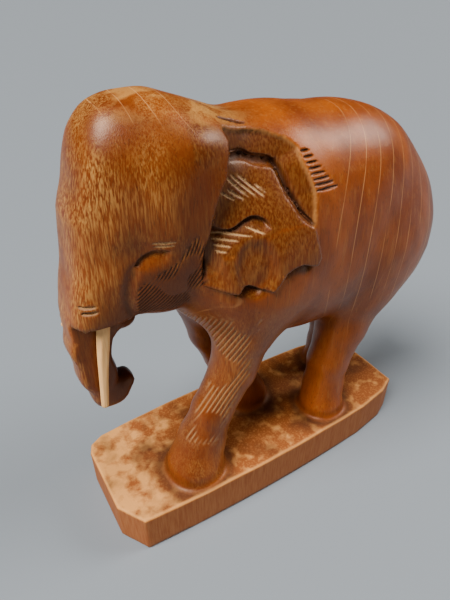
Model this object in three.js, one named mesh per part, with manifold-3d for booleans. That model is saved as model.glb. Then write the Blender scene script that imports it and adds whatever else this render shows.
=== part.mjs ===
// A walking elephant carved from one block of wood together with the base under its feet,
// and two tusks of pale wood that are let into the head. The right tusk is a short stub.
// Millimetres, +X the way the elephant walks, +Y its left side, +Z up,
// with the origin at the centre of the base's underside.
import * as THREE from 'three';
import { mergeVertices } from 'three/addons/utils/BufferGeometryUtils.js';
import Module from 'manifold-3d';

// Driving dimensions of the figure
const FIGURE_HEIGHT = 202;
const FIGURE_WIDTH = 83;
const EAR_RECESS_DEPTH = 6;
const EAR_PROUD = 2.4;

// Driving dimensions of the tusks
const TUSK_LENGTH = 47;
const TUSK_DIAMETER = 5.8;
const TUSK_TIP_DIAMETER = 3.2;
const BROKEN_TUSK_LENGTH = 18;
const TUSK_SOCKET_DEPTH = 9;
const TUSK_CLEARANCE = 0.3;
const TUSK_BEND_SHARE = 0.008;

// Driving dimensions of the base
const BASE_THICKNESS = 26;
const BASE_FRONT_MARGIN = 49.5;
const BASE_REAR_MARGIN = 25;
const BASE_SIDE_MARGIN = 5.5;
const FOOT_FILLET = 2.2;

// How finely the carving is cut into faces
const GRID_CELL = 2.3;
const CARVING_TRIANGLES = 8400;

// The figure's forms are given in units from the middle of the base's top.
// It stands 102.5 of them high, and is 42.1 of them wide over the ears.
const unit = FIGURE_HEIGHT / 102.5;
const widthShare = FIGURE_WIDTH / (42.1 * unit);

// Each bulk is an ellipsoid: its centre, its half sizes, how square it is
// and how softly it runs into the bulks before it.
const bulks = {
  torso: { at: [-13.6, 0, 65.7], half: [35.7, 19.7, 29.8], squareness: 2.3, blend: 0 },
  rump: { at: [-37.2, 0, 57.1], half: [19.3, 17.6, 22.7], squareness: 2.3, blend: 7.1 },
  shoulder: { at: [6.8, 0, 70.7], half: [24.8, 18.6, 26.3], squareness: 2.2, blend: 7.1 },
  crown: { at: [24.1, 0, 82.5], half: [13.8, 15.2, 17.5], squareness: 2.6, blend: 4.1 },
  brow: { at: [32.2, 0, 80.1], half: [13.5, 12.2, 22.4], squareness: 2.6, blend: 5.1 },
  jaw: { at: [26.3, 0, 66.1], half: [13.4, 11.7, 11.3], squareness: 2.3, blend: 5.1 },
  lip: { at: [38.4, 0, 54], half: [3, 2.6, 2.6], squareness: 2, blend: 2 },
};
const headBulks = ['crown', 'brow', 'jaw', 'lip'];

// The head grows out of the neck with a wide sweep on top, and stands clear of the shoulder below.
const headJoint = { low: 1.2, high: 5.1, from: 66, to: 90 };

// Each limb is a run of stations from top to bottom: the centre (x, y, height),
// then half the thickness fore and aft, then half the width across.
const limbs = {
  leftFrontLeg: {
    stations: [
      [7.1, 10.3, 57.9, 12.3, 9.1],
      [10.2, 8.9, 45.7, 8, 7.6],
      [12.9, 8.4, 32.5, 6, 6],
      [19.4, 8.2, 20.3, 5.4, 5.4],
      [22.8, 7.6, 10.2, 6.4, 6.3],
      [25.6, 8.3, 2, 8.1, 7.9],
    ],
    squareness: 2.3,
    blend: 5.1,
  },
  rightFrontLeg: {
    stations: [
      [11.2, -8.6, 57.9, 12.3, 9.1],
      [12.3, -8.6, 45.7, 8, 7.6],
      [10.3, -8.6, 32.5, 6, 6],
      [5.6, -8.6, 20.3, 5.5, 5.5],
      [0.8, -8.6, 10.2, 6.3, 6.2],
      [-2, -8.6, 2, 7.6, 7.6],
    ],
    squareness: 2.3,
    blend: 5.1,
  },
  leftHindLeg: {
    stations: [
      [-33.5, 7.9, 57.9, 13.7, 10.2],
      [-30.5, 8.6, 43.7, 10.2, 8.1],
      [-27.1, 7.6, 30.5, 7.4, 7.3],
      [-23.3, 8.1, 18.3, 6.1, 6],
      [-22.8, 7.9, 8.1, 6, 6],
      [-21.8, 8.9, 2, 6.9, 6.9],
    ],
    squareness: 2.3,
    blend: 5.1,
  },
  rightHindLeg: {
    stations: [
      [-37.6, -8.1, 57.9, 13.7, 10.2],
      [-38.6, -8.1, 43.7, 10.2, 8.1],
      [-38.6, -8.1, 30.5, 7.4, 7.3],
      [-38.2, -8.1, 18.3, 6.1, 6],
      [-37.6, -8.1, 8.1, 5.8, 5.7],
      [-38.1, -8.1, 2, 6.9, 6.9],
    ],
    squareness: 2.3,
    blend: 5.1,
  },
  trunk: {
    stations: [
      [37.7, 0, 77.9, 10.2, 9.1],
      [42.7, 0, 64.5, 7.1, 8],
      [44.4, 0, 60.2, 6.2, 8.2],
      [45.7, 0, 57, 5.5, 7.4],
      [47.6, 0, 50.3, 4.3, 5.2],
      [46.8, 0, 41.5, 4.2, 4.4],
      [45.4, 0, 34.2, 3.5, 3.4],
      [43.2, 0, 33.6, 2.9, 3.1],
      [40.5, 0, 35.6, 2.4, 2.8],
    ],
    squareness: 3.6,
    blend: 3.6,
  },
};

// Under the head's lower edge the trunk is cut back to two flat sides.
const ledge = { front: 37, height: 58.6, halfWidth: 4.1 };

// The tail lies on the rump in low relief, from top to bottom, and ends in a tuft.
const tail = {
  top: 82, bottom: 41, across: -1, steps: 10,
  halfWidth: 1.4, tuft: 2.2, bedded: 0.35, blend: 1.2,
};

// The ear from the side, as [x, height]: where the head stops in front of it, its top edge in the
// crevice under the neck, its rear edge, its scalloped lower edge, and the arris of the body
// above it, from which a sloped wall runs down into the crevice.
const ear = {
  front: [
    [16.8, 93.9], [18.1, 90.2], [18.8, 87.7], [20.4, 85.5],
    [22.3, 80.4], [22.8, 77.5], [24.1, 72.4], [24.1, 65.1],
  ],
  top: [
    [16.8, 90.4], [12.8, 90], [10.3, 88.8], [7, 88.1], [5.6, 86.5],
    [4.8, 82.7], [3.6, 80.1], [2.4, 77.6], [0, 75],
  ],
  rear: [[0, 75], [-1.2, 70.5], [-2, 67.5], [-1, 65.6]],
  bottom: [
    [3.7, 67.3], [6.1, 67], [7.6, 66.2], [9.1, 64.1],
    [10.5, 62.4], [13.6, 63.4], [15.8, 64.5], [18.8, 63.1],
  ],
  arris: [
    [17.4, 96], [14.5, 94.9], [7.6, 93.9], [3.6, 92.4], [1.7, 90.7],
    [1.4, 88.2], [0.2, 85], [-0.6, 82], [0, 75],
  ],
};
const backwards = (path) => [...path].reverse();
const earOutline = [...ear.front, ...backwards(ear.bottom), ...backwards(ear.rear), ...backwards(ear.top)];
const recessOutline = [...ear.arris, ...backwards(ear.top), ear.front[0]];

const tusks = {
  left_tusk: {
    root: [44.7, 5.6, 57.8], toward: [0.123, 0, -0.99], length: TUSK_LENGTH, tip: TUSK_TIP_DIAMETER,
  },
  right_tusk: {
    root: [44.7, -5.6, 57.8], toward: [0.68, -0.2, -0.72], length: BROKEN_TUSK_LENGTH, tip: 1,
  },
};

const feet = ['leftFrontLeg', 'rightFrontLeg', 'leftHindLeg', 'rightHindLeg'].map((name) => {
  const [x, y, , depth, width] = limbs[name].stations.at(-1);
  return { x: x * unit, reach: (Math.abs(y) + width) * unit * widthShare, depth: depth * unit };
});
const baseFront = Math.max(...feet.map((foot) => foot.x)) + BASE_FRONT_MARGIN;
const baseRear = Math.min(...feet.map((foot) => foot.x)) - BASE_REAR_MARGIN;
const baseLength = baseFront - baseRear;
const baseHalfWidth = Math.max(...feet.map((foot) => foot.reach)) + BASE_SIDE_MARGIN;
const figureShift = -(baseFront + baseRear) / 2;
const baseTop = BASE_THICKNESS;

// The base seen from above: bowed sides, cut corners in front, the left one deeper,
// and softer ones behind.
function baseOutline() {
  const half = baseLength / 2;
  const bowed = (share) => baseHalfWidth * (1 - 0.12 * share * share);
  const rearCut = -0.65;
  const steps = 8;
  const sideFrom = (frontCut, frontShare) => {
    const side = [[half, bowed(frontCut) * frontShare]];
    for (let i = 0; i <= steps; i++) {
      const share = frontCut + ((rearCut - frontCut) * i) / steps;
      side.push([share * half, bowed(share)]);
    }
    side.push([-0.875 * half, bowed(rearCut) * 0.9]);
    side.push([-half, bowed(rearCut) * 0.74]);
    return side;
  };
  const left = sideFrom(0.905, 0.54);
  const right = sideFrom(0.9, 0.7);
  right.splice(1, 0, [0.975 * half, bowed(0.9) * 0.88]);
  return [...left, ...right.map(([x, y]) => [x, -y]).reverse()];
}

function smoothUnion(a, b, radius) {
  if (radius <= 0) return Math.min(a, b);
  const h = Math.max(radius - Math.abs(a - b), 0) / radius;
  return Math.min(a, b) - (h * h * radius) / 4;
}

function smoothStep(from, to, value) {
  return THREE.MathUtils.smoothstep(value, from, to);
}

// Distance to an ellipsoid whose sections can be squarer than an ellipse.
function bulkDistance(p, { at, half, squareness: n }) {
  const q = [0, 1, 2].map((i) => Math.max(Math.abs(p[i] - at[i]) / half[i], 1e-6));
  const reach = (q[0] ** n + q[1] ** n + q[2] ** n) ** (1 / n);
  const slope = q.map((v, i) => (reach ** (1 - n) * v ** (n - 1)) / half[i]);
  return (reach - 1) / Math.hypot(...slope);
}

function limbDistance(p, { stations, squareness: n }) {
  let nearest = Infinity;
  for (let i = 0; i + 1 < stations.length; i++) {
    const [ax, ay, az, aDepth, aWidth] = stations[i];
    const [bx, by, bz, bDepth, bWidth] = stations[i + 1];
    const [ux, uy, uz] = [bx - ax, by - ay, bz - az];
    const along = ((p[0] - ax) * ux + (p[1] - ay) * uy + (p[2] - az) * uz) / (ux * ux + uy * uy + uz * uz);
    const t = THREE.MathUtils.clamp(along, 0, 1);
    const depth = aDepth + (bDepth - aDepth) * t;
    const width = aWidth + (bWidth - aWidth) * t;
    const foreAft = Math.hypot(p[0] - ax - ux * t, p[2] - az - uz * t);
    const across = (Math.abs(p[1] - ay - uy * t) * depth) / width;
    const reach = (foreAft ** n + across ** n) ** (1 / n);
    nearest = smoothUnion(nearest, (reach - depth) * Math.min(1, width / depth), 1.5);
  }
  return nearest;
}

// Signed distance from a point to a closed outline in the side view, positive inside.
function insideOutline(x, z, outline) {
  let nearest = Infinity;
  let inside = false;
  for (let i = 0, j = outline.length - 1; i < outline.length; j = i++) {
    const [ax, az] = outline[i];
    const [bx, bz] = outline[j];
    const [ux, uz] = [bx - ax, bz - az];
    const length2 = ux * ux + uz * uz || 1;
    const t = THREE.MathUtils.clamp(((x - ax) * ux + (z - az) * uz) / length2, 0, 1);
    nearest = Math.min(nearest, Math.hypot(x - ax - ux * t, z - az - uz * t));
    if (az > z !== bz > z && x < ax + ((bx - ax) * (z - az)) / (bz - az)) inside = !inside;
  }
  return inside ? nearest : -nearest;
}

// Distance from a point to an open path in the side view.
function pathDistance(x, z, path) {
  let nearest = Infinity;
  for (let i = 0; i + 1 < path.length; i++) {
    const [ax, az] = path[i];
    const [ux, uz] = [path[i + 1][0] - ax, path[i + 1][1] - az];
    const t = THREE.MathUtils.clamp(((x - ax) * ux + (z - az) * uz) / (ux * ux + uz * uz || 1), 0, 1);
    nearest = Math.min(nearest, Math.hypot(x - ax - ux * t, z - az - uz * t));
  }
  return nearest;
}

// How deep the ear's carving goes below the smooth form, in the figure's units. The wall slopes
// from the arris down to the crevice, and the ear rises from there and from the head's edge.
function earRelief(x, z) {
  if (x < -6 || x > 29 || z < 58 || z > 100) return 0;
  const deep = EAR_RECESS_DEPTH / unit;
  const proud = EAR_PROUD / unit;
  const onEar = insideOutline(x, z, earOutline);
  const inRecess = insideOutline(x, z, recessOutline);
  const slope = 0.15 + 0.85 * Math.min(pathDistance(x, z, ear.arris) / 5.6, 1);
  const wall = deep * slope * smoothStep(-0.5, 0.5, inRecess);
  const lift = smoothStep(68, 88, z + 0.35 * Math.max(x - 8, 0));
  const tuck = 0.75 * smoothStep(6, 0.5, pathDistance(x, z, ear.front)) * smoothStep(63, 72, z);
  const flap = -proud + (proud + deep * 0.85) * Math.max(lift, tuck);
  const share = smoothStep(-0.6, 0.6, onEar);
  return Math.max(wall * (1 - share), 0) + flap * share;
}

// The body with its legs, in the figure's units.
function bodyDistance(p) {
  let d = Infinity;
  for (const [name, bulk] of Object.entries(bulks)) {
    if (!headBulks.includes(name)) d = smoothUnion(d, bulkDistance(p, bulk), bulk.blend);
  }
  for (const [name, limb] of Object.entries(limbs)) {
    if (name !== 'trunk') d = smoothUnion(d, limbDistance(p, limb), limb.blend);
  }
  return d;
}

// The head with its trunk, in the figure's units.
function headDistance(p) {
  let d = Infinity;
  for (const name of headBulks) d = smoothUnion(d, bulkDistance(p, bulks[name]), bulks[name].blend);
  d = smoothUnion(d, limbDistance(p, limbs.trunk), limbs.trunk.blend);
  const besideTrunk = Math.max(ledge.front - p[0], p[2] - ledge.height, ledge.halfWidth - Math.abs(p[1]));
  return Math.max(d, -besideTrunk);
}

// Stations of the tail, each found on the rump's rear at its height.
function tailStations() {
  const stations = [];
  for (let i = 0; i <= tail.steps; i++) {
    const share = i / tail.steps;
    const z = tail.top + (tail.bottom - tail.top) * share;
    const y = tail.across * Math.sin(Math.PI * share);
    let [outside, inside] = [-90, -30];
    for (let n = 0; n < 24; n++) {
      const x = (outside + inside) / 2;
      if (bodyDistance([x, y, z]) > 0) outside = x;
      else inside = x;
    }
    const r = tail.halfWidth * smoothStep(0, 0.2, share) * 0.5 + tail.halfWidth * 0.5
      + (tail.tuft - tail.halfWidth) * smoothStep(0.72, 0.88, share) * smoothStep(1.06, 0.94, share);
    stations.push([outside + r * tail.bedded, y, z, r, r]);
  }
  return stations;
}
const tailLimb = { stations: tailStations(), squareness: 2 };

function figureDistance(x, y, z) {
  const p = [(x - figureShift) / unit, y / unit / widthShare, (z - baseTop) / unit];
  const sweep = smoothStep(headJoint.from, headJoint.to, p[2]);
  const radius = headJoint.low + (headJoint.high - headJoint.low) * sweep;
  let d = smoothUnion(bodyDistance(p), headDistance(p), radius);
  if (p[0] < -30 && Math.abs(p[1]) < 8) d = smoothUnion(d, limbDistance(p, tailLimb), tail.blend);
  if (Math.abs(d) < 6) d += earRelief(p[0], p[2]) * smoothStep(3, 7, Math.abs(p[1]));
  return d * unit;
}

// The lowest and highest corners of the figure's forms, in the figure's units.
function formReach() {
  const low = [0, 0, 0];
  const high = [0, 0, 0];
  const take = (at, half) => {
    for (let i = 0; i < 3; i++) {
      low[i] = Math.min(low[i], at[i] - half[i]);
      high[i] = Math.max(high[i], at[i] + half[i]);
    }
  };
  for (const { at, half } of Object.values(bulks)) take(at, half);
  for (const { stations } of [...Object.values(limbs), tailLimb]) {
    for (const [x, y, z, depth, width] of stations) take([x, y, z], [depth, width, depth]);
  }
  return { low, high };
}

function carvingDistance(x, y, z) {
  const aside = Math.max(Math.abs(x) - baseLength / 2 - 4, Math.abs(y) - baseHalfWidth - 4);
  const slab = Math.max(z - baseTop, -z - 3, aside);
  return smoothUnion(figureDistance(x, y, z), slab, FOOT_FILLET * 2);
}

// Turns a distance field into a closed mesh: each grid cube is split into six tetrahedra
// round its long diagonal, and each tetrahedron is cut where the field is zero.
function polygonise(field, low, high, cell) {
  const count = low.map((v, i) => Math.ceil((high[i] - v) / cell) + 1);
  const stride = [1, count[0], count[0] * count[1]];
  const values = new Float64Array(count[0] * count[1] * count[2]);
  for (let k = 0; k < count[2]; k++) {
    for (let j = 0; j < count[1]; j++) {
      for (let i = 0; i < count[0]; i++) {
        const value = field(low[0] + i * cell, low[1] + j * cell, low[2] + k * cell);
        values[i + j * stride[1] + k * stride[2]] = Math.abs(value) < 0.02 * cell ? 0.02 * cell : value;
      }
    }
  }
  const corner = (c) => (c & 1) * stride[0] + ((c >> 1) & 1) * stride[1] + ((c >> 2) & 1) * stride[2];
  const axisOrders = [[1, 2, false], [1, 4, true], [2, 1, true], [2, 4, false], [4, 1, false], [4, 2, true]];
  const tetrahedra = axisOrders.map(([a, b, even]) => ({ corners: [0, a, a | b, 7], even }));
  const positions = [];
  const triangles = [];
  const made = new Map();
  const place = (n) => [n % count[0], Math.floor(n / stride[1]) % count[1], Math.floor(n / stride[2])];
  const cutEdge = (a, b) => {
    const key = Math.min(a, b) * values.length + Math.max(a, b);
    if (made.has(key)) return made.get(key);
    const t = values[a] / (values[a] - values[b]);
    const from = place(a);
    const to = place(b);
    for (let i = 0; i < 3; i++) positions.push(low[i] + (from[i] + (to[i] - from[i]) * t) * cell);
    made.set(key, positions.length / 3 - 1);
    return positions.length / 3 - 1;
  };
  const cutTetrahedron = (nodes, even) => {
    const inner = [0, 1, 2, 3].filter((n) => values[nodes[n]] < 0);
    if (inner.length === 0 || inner.length === 4) return;
    const order = [...inner, ...[0, 1, 2, 3].filter((n) => values[nodes[n]] >= 0)];
    let swaps = 0;
    for (let m = 0; m < 4; m++) for (let n = m + 1; n < 4; n++) swaps += order[m] > order[n] ? 1 : 0;
    const flip = (swaps % 2 === 1) !== even;
    const add = (u, v, w) => triangles.push(...(flip ? [u, w, v] : [u, v, w]));
    const [a, b, c, d] = order.map((n) => nodes[n]);
    if (inner.length === 1) add(cutEdge(a, b), cutEdge(a, c), cutEdge(a, d));
    else if (inner.length === 3) add(cutEdge(a, d), cutEdge(b, d), cutEdge(c, d));
    else {
      add(cutEdge(a, c), cutEdge(a, d), cutEdge(b, d));
      add(cutEdge(a, c), cutEdge(b, d), cutEdge(b, c));
    }
  };
  for (let k = 0; k + 1 < count[2]; k++) {
    for (let j = 0; j + 1 < count[1]; j++) {
      for (let i = 0; i + 1 < count[0]; i++) {
        const at = i + j * stride[1] + k * stride[2];
        let inside = 0;
        for (let c = 0; c < 8; c++) inside += values[at + corner(c)] < 0 ? 1 : 0;
        if (inside === 0 || inside === 8) continue;
        for (const { corners, even } of tetrahedra) cutTetrahedron(corners.map((c) => at + corner(c)), even);
      }
    }
  }
  return { positions, triangles };
}

// Collapses the edges that matter least to the form until few enough triangles are left.
// The cost of a collapse is the summed squared distance to the planes it replaces.
function simplify({ positions, triangles }, target) {
  const vertexCount = positions.length / 3;
  const quadrics = new Float64Array(vertexCount * 10);
  const faces = Array.from({ length: vertexCount }, () => new Set());
  const alive = new Uint8Array(triangles.length / 3).fill(1);
  const version = new Uint32Array(vertexCount);
  const point = (v) => [positions[v * 3], positions[v * 3 + 1], positions[v * 3 + 2]];
  const normalOf = (a, b, c) => {
    const [ux, uy, uz] = [b[0] - a[0], b[1] - a[1], b[2] - a[2]];
    const [vx, vy, vz] = [c[0] - a[0], c[1] - a[1], c[2] - a[2]];
    return [uy * vz - uz * vy, uz * vx - ux * vz, ux * vy - uy * vx];
  };
  for (let f = 0; f < alive.length; f++) {
    const corners = [triangles[f * 3], triangles[f * 3 + 1], triangles[f * 3 + 2]];
    const a = point(corners[0]);
    const n = normalOf(a, point(corners[1]), point(corners[2]));
    const size = Math.hypot(...n) || 1e-12;
    const [x, y, z] = n.map((v) => v / size);
    const w = -(x * a[0] + y * a[1] + z * a[2]);
    const q = [x * x, x * y, x * z, x * w, y * y, y * z, y * w, z * z, z * w, w * w];
    for (const v of corners) {
      faces[v].add(f);
      for (let i = 0; i < 10; i++) quadrics[v * 10 + i] += q[i] * size;
    }
  }
  const error = (q, [x, y, z]) => q[0] * x * x + 2 * q[1] * x * y + 2 * q[2] * x * z + 2 * q[3] * x + q[4] * y * y
    + 2 * q[5] * y * z + 2 * q[6] * y + q[7] * z * z + 2 * q[8] * z + q[9];
  const bestPoint = (a, b) => {
    const q = new Float64Array(10);
    for (let i = 0; i < 10; i++) q[i] = quadrics[a * 10 + i] + quadrics[b * 10 + i];
    const pa = point(a);
    const pb = point(b);
    const middle = pa.map((v, i) => (v + pb[i]) / 2);
    const pull = 1e-3 * (q[0] + q[4] + q[7]) + 1e-9;
    const m = new THREE.Matrix3(q[0] + pull, q[1], q[2], q[1], q[4] + pull, q[5], q[2], q[5], q[7] + pull);
    const r = new THREE.Vector3(pull * middle[0] - q[3], pull * middle[1] - q[6], pull * middle[2] - q[8]);
    const solved = r.applyMatrix3(m.invert()).toArray();
    const reach = Math.hypot(...pa.map((v, i) => v - pb[i]));
    const far = Math.hypot(...solved.map((v, i) => v - middle[i])) > reach * 1.5;
    const at = far || !solved.every(Number.isFinite) ? middle : solved;
    return { at, cost: error(q, at) + 1e-4 * reach * reach };
  };
  const heap = [];
  const push = (item) => {
    let i = heap.push(item) - 1;
    while (i > 0) {
      const parent = (i - 1) >> 1;
      if (heap[parent].cost <= heap[i].cost) break;
      [heap[parent], heap[i]] = [heap[i], heap[parent]];
      i = parent;
    }
  };
  const pop = () => {
    const top = heap[0];
    const last = heap.pop();
    if (heap.length > 0) {
      heap[0] = last;
      for (let i = 0; ;) {
        let small = i;
        for (const child of [2 * i + 1, 2 * i + 2]) {
          if (child < heap.length && heap[child].cost < heap[small].cost) small = child;
        }
        if (small === i) break;
        [heap[small], heap[i]] = [heap[i], heap[small]];
        i = small;
      }
    }
    return top;
  };
  const offer = (a, b) => push({ a, b, ...bestPoint(a, b), stamp: version[a] + version[b] });
  const neighbours = (v) => {
    const found = new Set();
    for (const f of faces[v]) for (let i = 0; i < 3; i++) found.add(triangles[f * 3 + i]);
    found.delete(v);
    return found;
  };
  for (let v = 0; v < vertexCount; v++) for (const other of neighbours(v)) if (other > v) offer(v, other);
  const turnsOver = (v, other, at) => {
    for (const f of faces[v]) {
      const corners = [0, 1, 2].map((i) => triangles[f * 3 + i]);
      if (corners.includes(other)) continue;
      const before = normalOf(...corners.map(point));
      const after = normalOf(...corners.map((c) => (c === v ? at : point(c))));
      const dot = before[0] * after[0] + before[1] * after[1] + before[2] * after[2];
      if (dot < 0.3 * Math.hypot(...before) * Math.hypot(...after) || Math.hypot(...after) < 1e-4) return true;
    }
    return false;
  };
  let left = alive.length;
  while (left > target && heap.length > 0) {
    const { a, b, at, stamp } = pop();
    if (faces[a].size === 0 || faces[b].size === 0 || stamp !== version[a] + version[b]) continue;
    const nearB = neighbours(b);
    if (!nearB.has(a)) continue;
    const shared = [...neighbours(a)].filter((v) => nearB.has(v));
    if (shared.length !== 2 || turnsOver(a, b, at) || turnsOver(b, a, at)) continue;
    for (const f of [...faces[b]]) {
      const corners = [0, 1, 2].map((i) => triangles[f * 3 + i]);
      if (corners.includes(a)) {
        for (const c of corners) faces[c].delete(f);
        alive[f] = 0;
        left--;
      } else {
        for (let i = 0; i < 3; i++) if (triangles[f * 3 + i] === b) triangles[f * 3 + i] = a;
        faces[a].add(f);
      }
    }
    faces[b].clear();
    for (let i = 0; i < 3; i++) positions[a * 3 + i] = at[i];
    for (let i = 0; i < 10; i++) quadrics[a * 10 + i] += quadrics[b * 10 + i];
    version[a] += version[b] + 1;
    for (const v of neighbours(a)) offer(a, v);
  }
  return { positions, triangles: triangles.filter((_, i) => alive[Math.floor(i / 3)]) };
}

function geometryOf({ positions, triangles }) {
  const geometry = new THREE.BufferGeometry();
  geometry.setAttribute('position', new THREE.Float32BufferAttribute(positions, 3));
  geometry.setIndex(triangles);
  return geometry;
}

const wasm = await Module();
wasm.setup();

function solidOf(geometry) {
  const bare = geometry.clone();
  for (const name of ['normal', 'uv']) bare.deleteAttribute(name);
  const merged = mergeVertices(bare, 1e-4);
  return new wasm.Manifold(new wasm.Mesh({
    numProp: 3,
    vertProperties: new Float32Array(merged.attributes.position.array),
    triVerts: new Uint32Array(merged.index.array),
  }));
}

function geometryFromSolid(solid) {
  const mesh = solid.getMesh();
  const positions = [];
  for (let v = 0; v < mesh.numVert; v++) positions.push(...mesh.position(v));
  return mergeVertices(geometryOf({ positions, triangles: Array.from(mesh.triVerts) }), 1e-4);
}

// A straight upright block with the given outline, between two heights.
function block(outline, bottom, top, hole) {
  const shape = new THREE.Shape(outline.map(([x, y]) => new THREE.Vector2(x, y)));
  if (hole) shape.holes.push(new THREE.Path([...hole].reverse().map(([x, y]) => new THREE.Vector2(x, y))));
  return new THREE.ExtrudeGeometry(shape, { depth: top - bottom, bevelEnabled: false }).translate(0, 0, bottom);
}

// A whittled peg round the Z axis: [distance along it, radius] pairs, closed at both ends.
function peg(profile, sides, bend = 0) {
  const points = [[0, profile[0][0]], ...profile.map(([s, r]) => [r, s]), [0, profile.at(-1)[0]]];
  const geometry = new THREE.LatheGeometry(points.map(([r, s]) => new THREE.Vector2(r, s)), sides);
  geometry.rotateX(Math.PI / 2);
  const place = geometry.attributes.position;
  const reach = profile.at(-1)[0];
  for (let i = 0; i < place.count; i++) {
    const share = THREE.MathUtils.clamp(place.getZ(i) / reach, 0, 1);
    place.setX(i, place.getX(i) + bend * Math.sin(Math.PI * share));
  }
  return geometry;
}

// Where a tusk leaves the head, and the turn that takes the Z axis along it.
function tuskPlace({ root, toward }) {
  const at = [root[0] * unit + figureShift, root[1] * unit * widthShare, root[2] * unit + baseTop];
  const position = new THREE.Vector3(...at);
  const direction = new THREE.Vector3(...toward).normalize();
  return { position, turn: new THREE.Quaternion().setFromUnitVectors(new THREE.Vector3(0, 0, 1), direction) };
}

function tuskProfile({ length, tip }) {
  const r = TUSK_DIAMETER / 2;
  const inside = TUSK_SOCKET_DEPTH - TUSK_CLEARANCE;
  return [
    [-inside, r * 0.92],
    [0, r],
    [length * 0.3, r],
    [length * 0.7, r + (tip / 2 - r) * 0.45],
    [length, tip / 2],
  ];
}

function carve() {
  const reach = formReach();
  const margin = 2 * GRID_CELL + EAR_PROUD;
  const baseX = baseLength / 2 + 2 * margin;
  const figureY = Math.max(-reach.low[1], reach.high[1]) * unit * widthShare;
  const farY = Math.max(baseHalfWidth + margin, figureY) + margin;
  const low = [Math.min(-baseX, reach.low[0] * unit + figureShift - margin), -farY, -3 - margin];
  const highX = Math.max(baseX, reach.high[0] * unit + figureShift + margin);
  const high = [highX, farY, baseTop + reach.high[2] * unit + margin];
  const form = simplify(polygonise(carvingDistance, low, high, GRID_CELL), CARVING_TRIANGLES);
  let solid = solidOf(geometryOf(form));
  const far = baseLength;
  const around = [[far, -far], [far, far], [-far, far], [-far, -far]];
  solid = solid.subtract(solidOf(block(around, -30, baseTop + 5, baseOutline())));
  solid = solid.subtract(solidOf(block(around, -30, 0)));
  for (const tusk of Object.values(tusks)) {
    const r = (TUSK_DIAMETER / 2 + TUSK_CLEARANCE) / Math.cos(Math.PI / 12);
    const socket = peg([[-TUSK_SOCKET_DEPTH, r], [tusk.length * 0.8, r]], 12);
    const { position, turn } = tuskPlace(tusk);
    solid = solid.subtract(solidOf(socket.applyQuaternion(turn).translate(...position.toArray())));
  }
  return geometryFromSolid(solid);
}

const darkWood = new THREE.MeshStandardMaterial({ color: 0x9c5a2b, roughness: 0.35, metalness: 0 });
const paleWood = new THREE.MeshStandardMaterial({ color: 0xe0b27c, roughness: 0.5, metalness: 0 });

const elephant = new THREE.Group();
const carving = new THREE.Mesh(carve(), darkWood);
carving.name = 'elephant_on_base';
elephant.add(carving);

for (const [name, tusk] of Object.entries(tusks)) {
  const { position, turn } = tuskPlace(tusk);
  const mesh = new THREE.Mesh(peg(tuskProfile(tusk), 10, tusk.length * TUSK_BEND_SHARE), paleWood);
  mesh.name = name;
  mesh.position.copy(position);
  mesh.quaternion.copy(turn);
  elephant.add(mesh);
}

export default elephant;
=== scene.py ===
"""Carved wooden elephant on its own base, dressed for the studio.

The whole figure and the base under it are one block of wood, so they are one
piece here too. Its form is worked out as a distance field: smooth masses and
limbs joined by small radii, then cut with the carver's marks. A mesh is laid on
the field, made finer wherever a knife or gouge has been, and drawn onto it.
"""
import logging
import math
from dataclasses import dataclass, field
from enum import Enum
from typing import Callable, Sequence

import bpy
import numpy as np
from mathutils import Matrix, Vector


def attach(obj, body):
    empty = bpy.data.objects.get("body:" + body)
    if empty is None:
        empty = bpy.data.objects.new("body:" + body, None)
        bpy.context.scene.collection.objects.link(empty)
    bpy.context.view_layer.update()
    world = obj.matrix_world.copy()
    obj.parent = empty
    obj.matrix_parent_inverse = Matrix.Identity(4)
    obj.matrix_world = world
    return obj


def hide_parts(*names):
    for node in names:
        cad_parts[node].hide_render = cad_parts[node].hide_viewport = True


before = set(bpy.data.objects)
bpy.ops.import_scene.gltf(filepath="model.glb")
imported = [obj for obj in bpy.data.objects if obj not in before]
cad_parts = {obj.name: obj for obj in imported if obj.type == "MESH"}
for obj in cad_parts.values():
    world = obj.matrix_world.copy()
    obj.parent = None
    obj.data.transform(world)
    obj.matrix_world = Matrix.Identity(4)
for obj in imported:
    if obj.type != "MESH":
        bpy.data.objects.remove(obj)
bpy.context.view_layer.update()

LOG = logging.getLogger("elephant")
MM = 0.001
Array = np.ndarray


class Flank(Enum):
    """A side of the figure, as the factor of its across coordinate."""

    LEFT = 1.0
    RIGHT = -1.0


def linear_colour(code: str) -> tuple[float, float, float, float]:
    """Turns an sRGB hex colour into linear light.

    Args:
        code: Six hex digits, with or without a hash.

    Returns:
        Linear red, green, blue and full opacity.
    """
    code = code.lstrip("#")
    channels = [int(code[i:i + 2], 16) / 255 for i in (0, 2, 4)]
    linear = [c / 12.92 if c <= 0.04045 else ((c + 0.055) / 1.055) ** 2.4 for c in channels]
    return (*linear, 1.0)


def smooth_step(low: float, high: float, value: Array) -> Array:
    """Rises from 0 at low to 1 at high with flat ends.

    Args:
        low: Value where the rise starts, above high for a fall.
        high: Value where it ends.
        value: What is measured.

    Returns:
        Shares from 0 to 1.
    """
    t = np.clip((value - low) / (high - low), 0.0, 1.0)
    return t * t * (3 - 2 * t)


def smooth_union(first: Array, second: Array, radius: float | Array) -> Array:
    """Joins two distance fields with a rounded inner corner.

    Args:
        first: Distances to one form.
        second: Distances to the other.
        radius: Reach of the rounding, 0 for a sharp corner.

    Returns:
        Distances to both forms as one.
    """
    nearest = np.minimum(first, second)
    if np.all(radius <= 0):
        return nearest
    share = np.maximum(radius - np.abs(first - second), 0) / radius
    return nearest - share * share * radius / 4


def in_box(points: Array, low: Sequence[float], high: Sequence[float]) -> Array:
    """Tells which points lie between two opposite corners."""
    return ((points > np.asarray(low)) & (points < np.asarray(high))).all(1)


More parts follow.
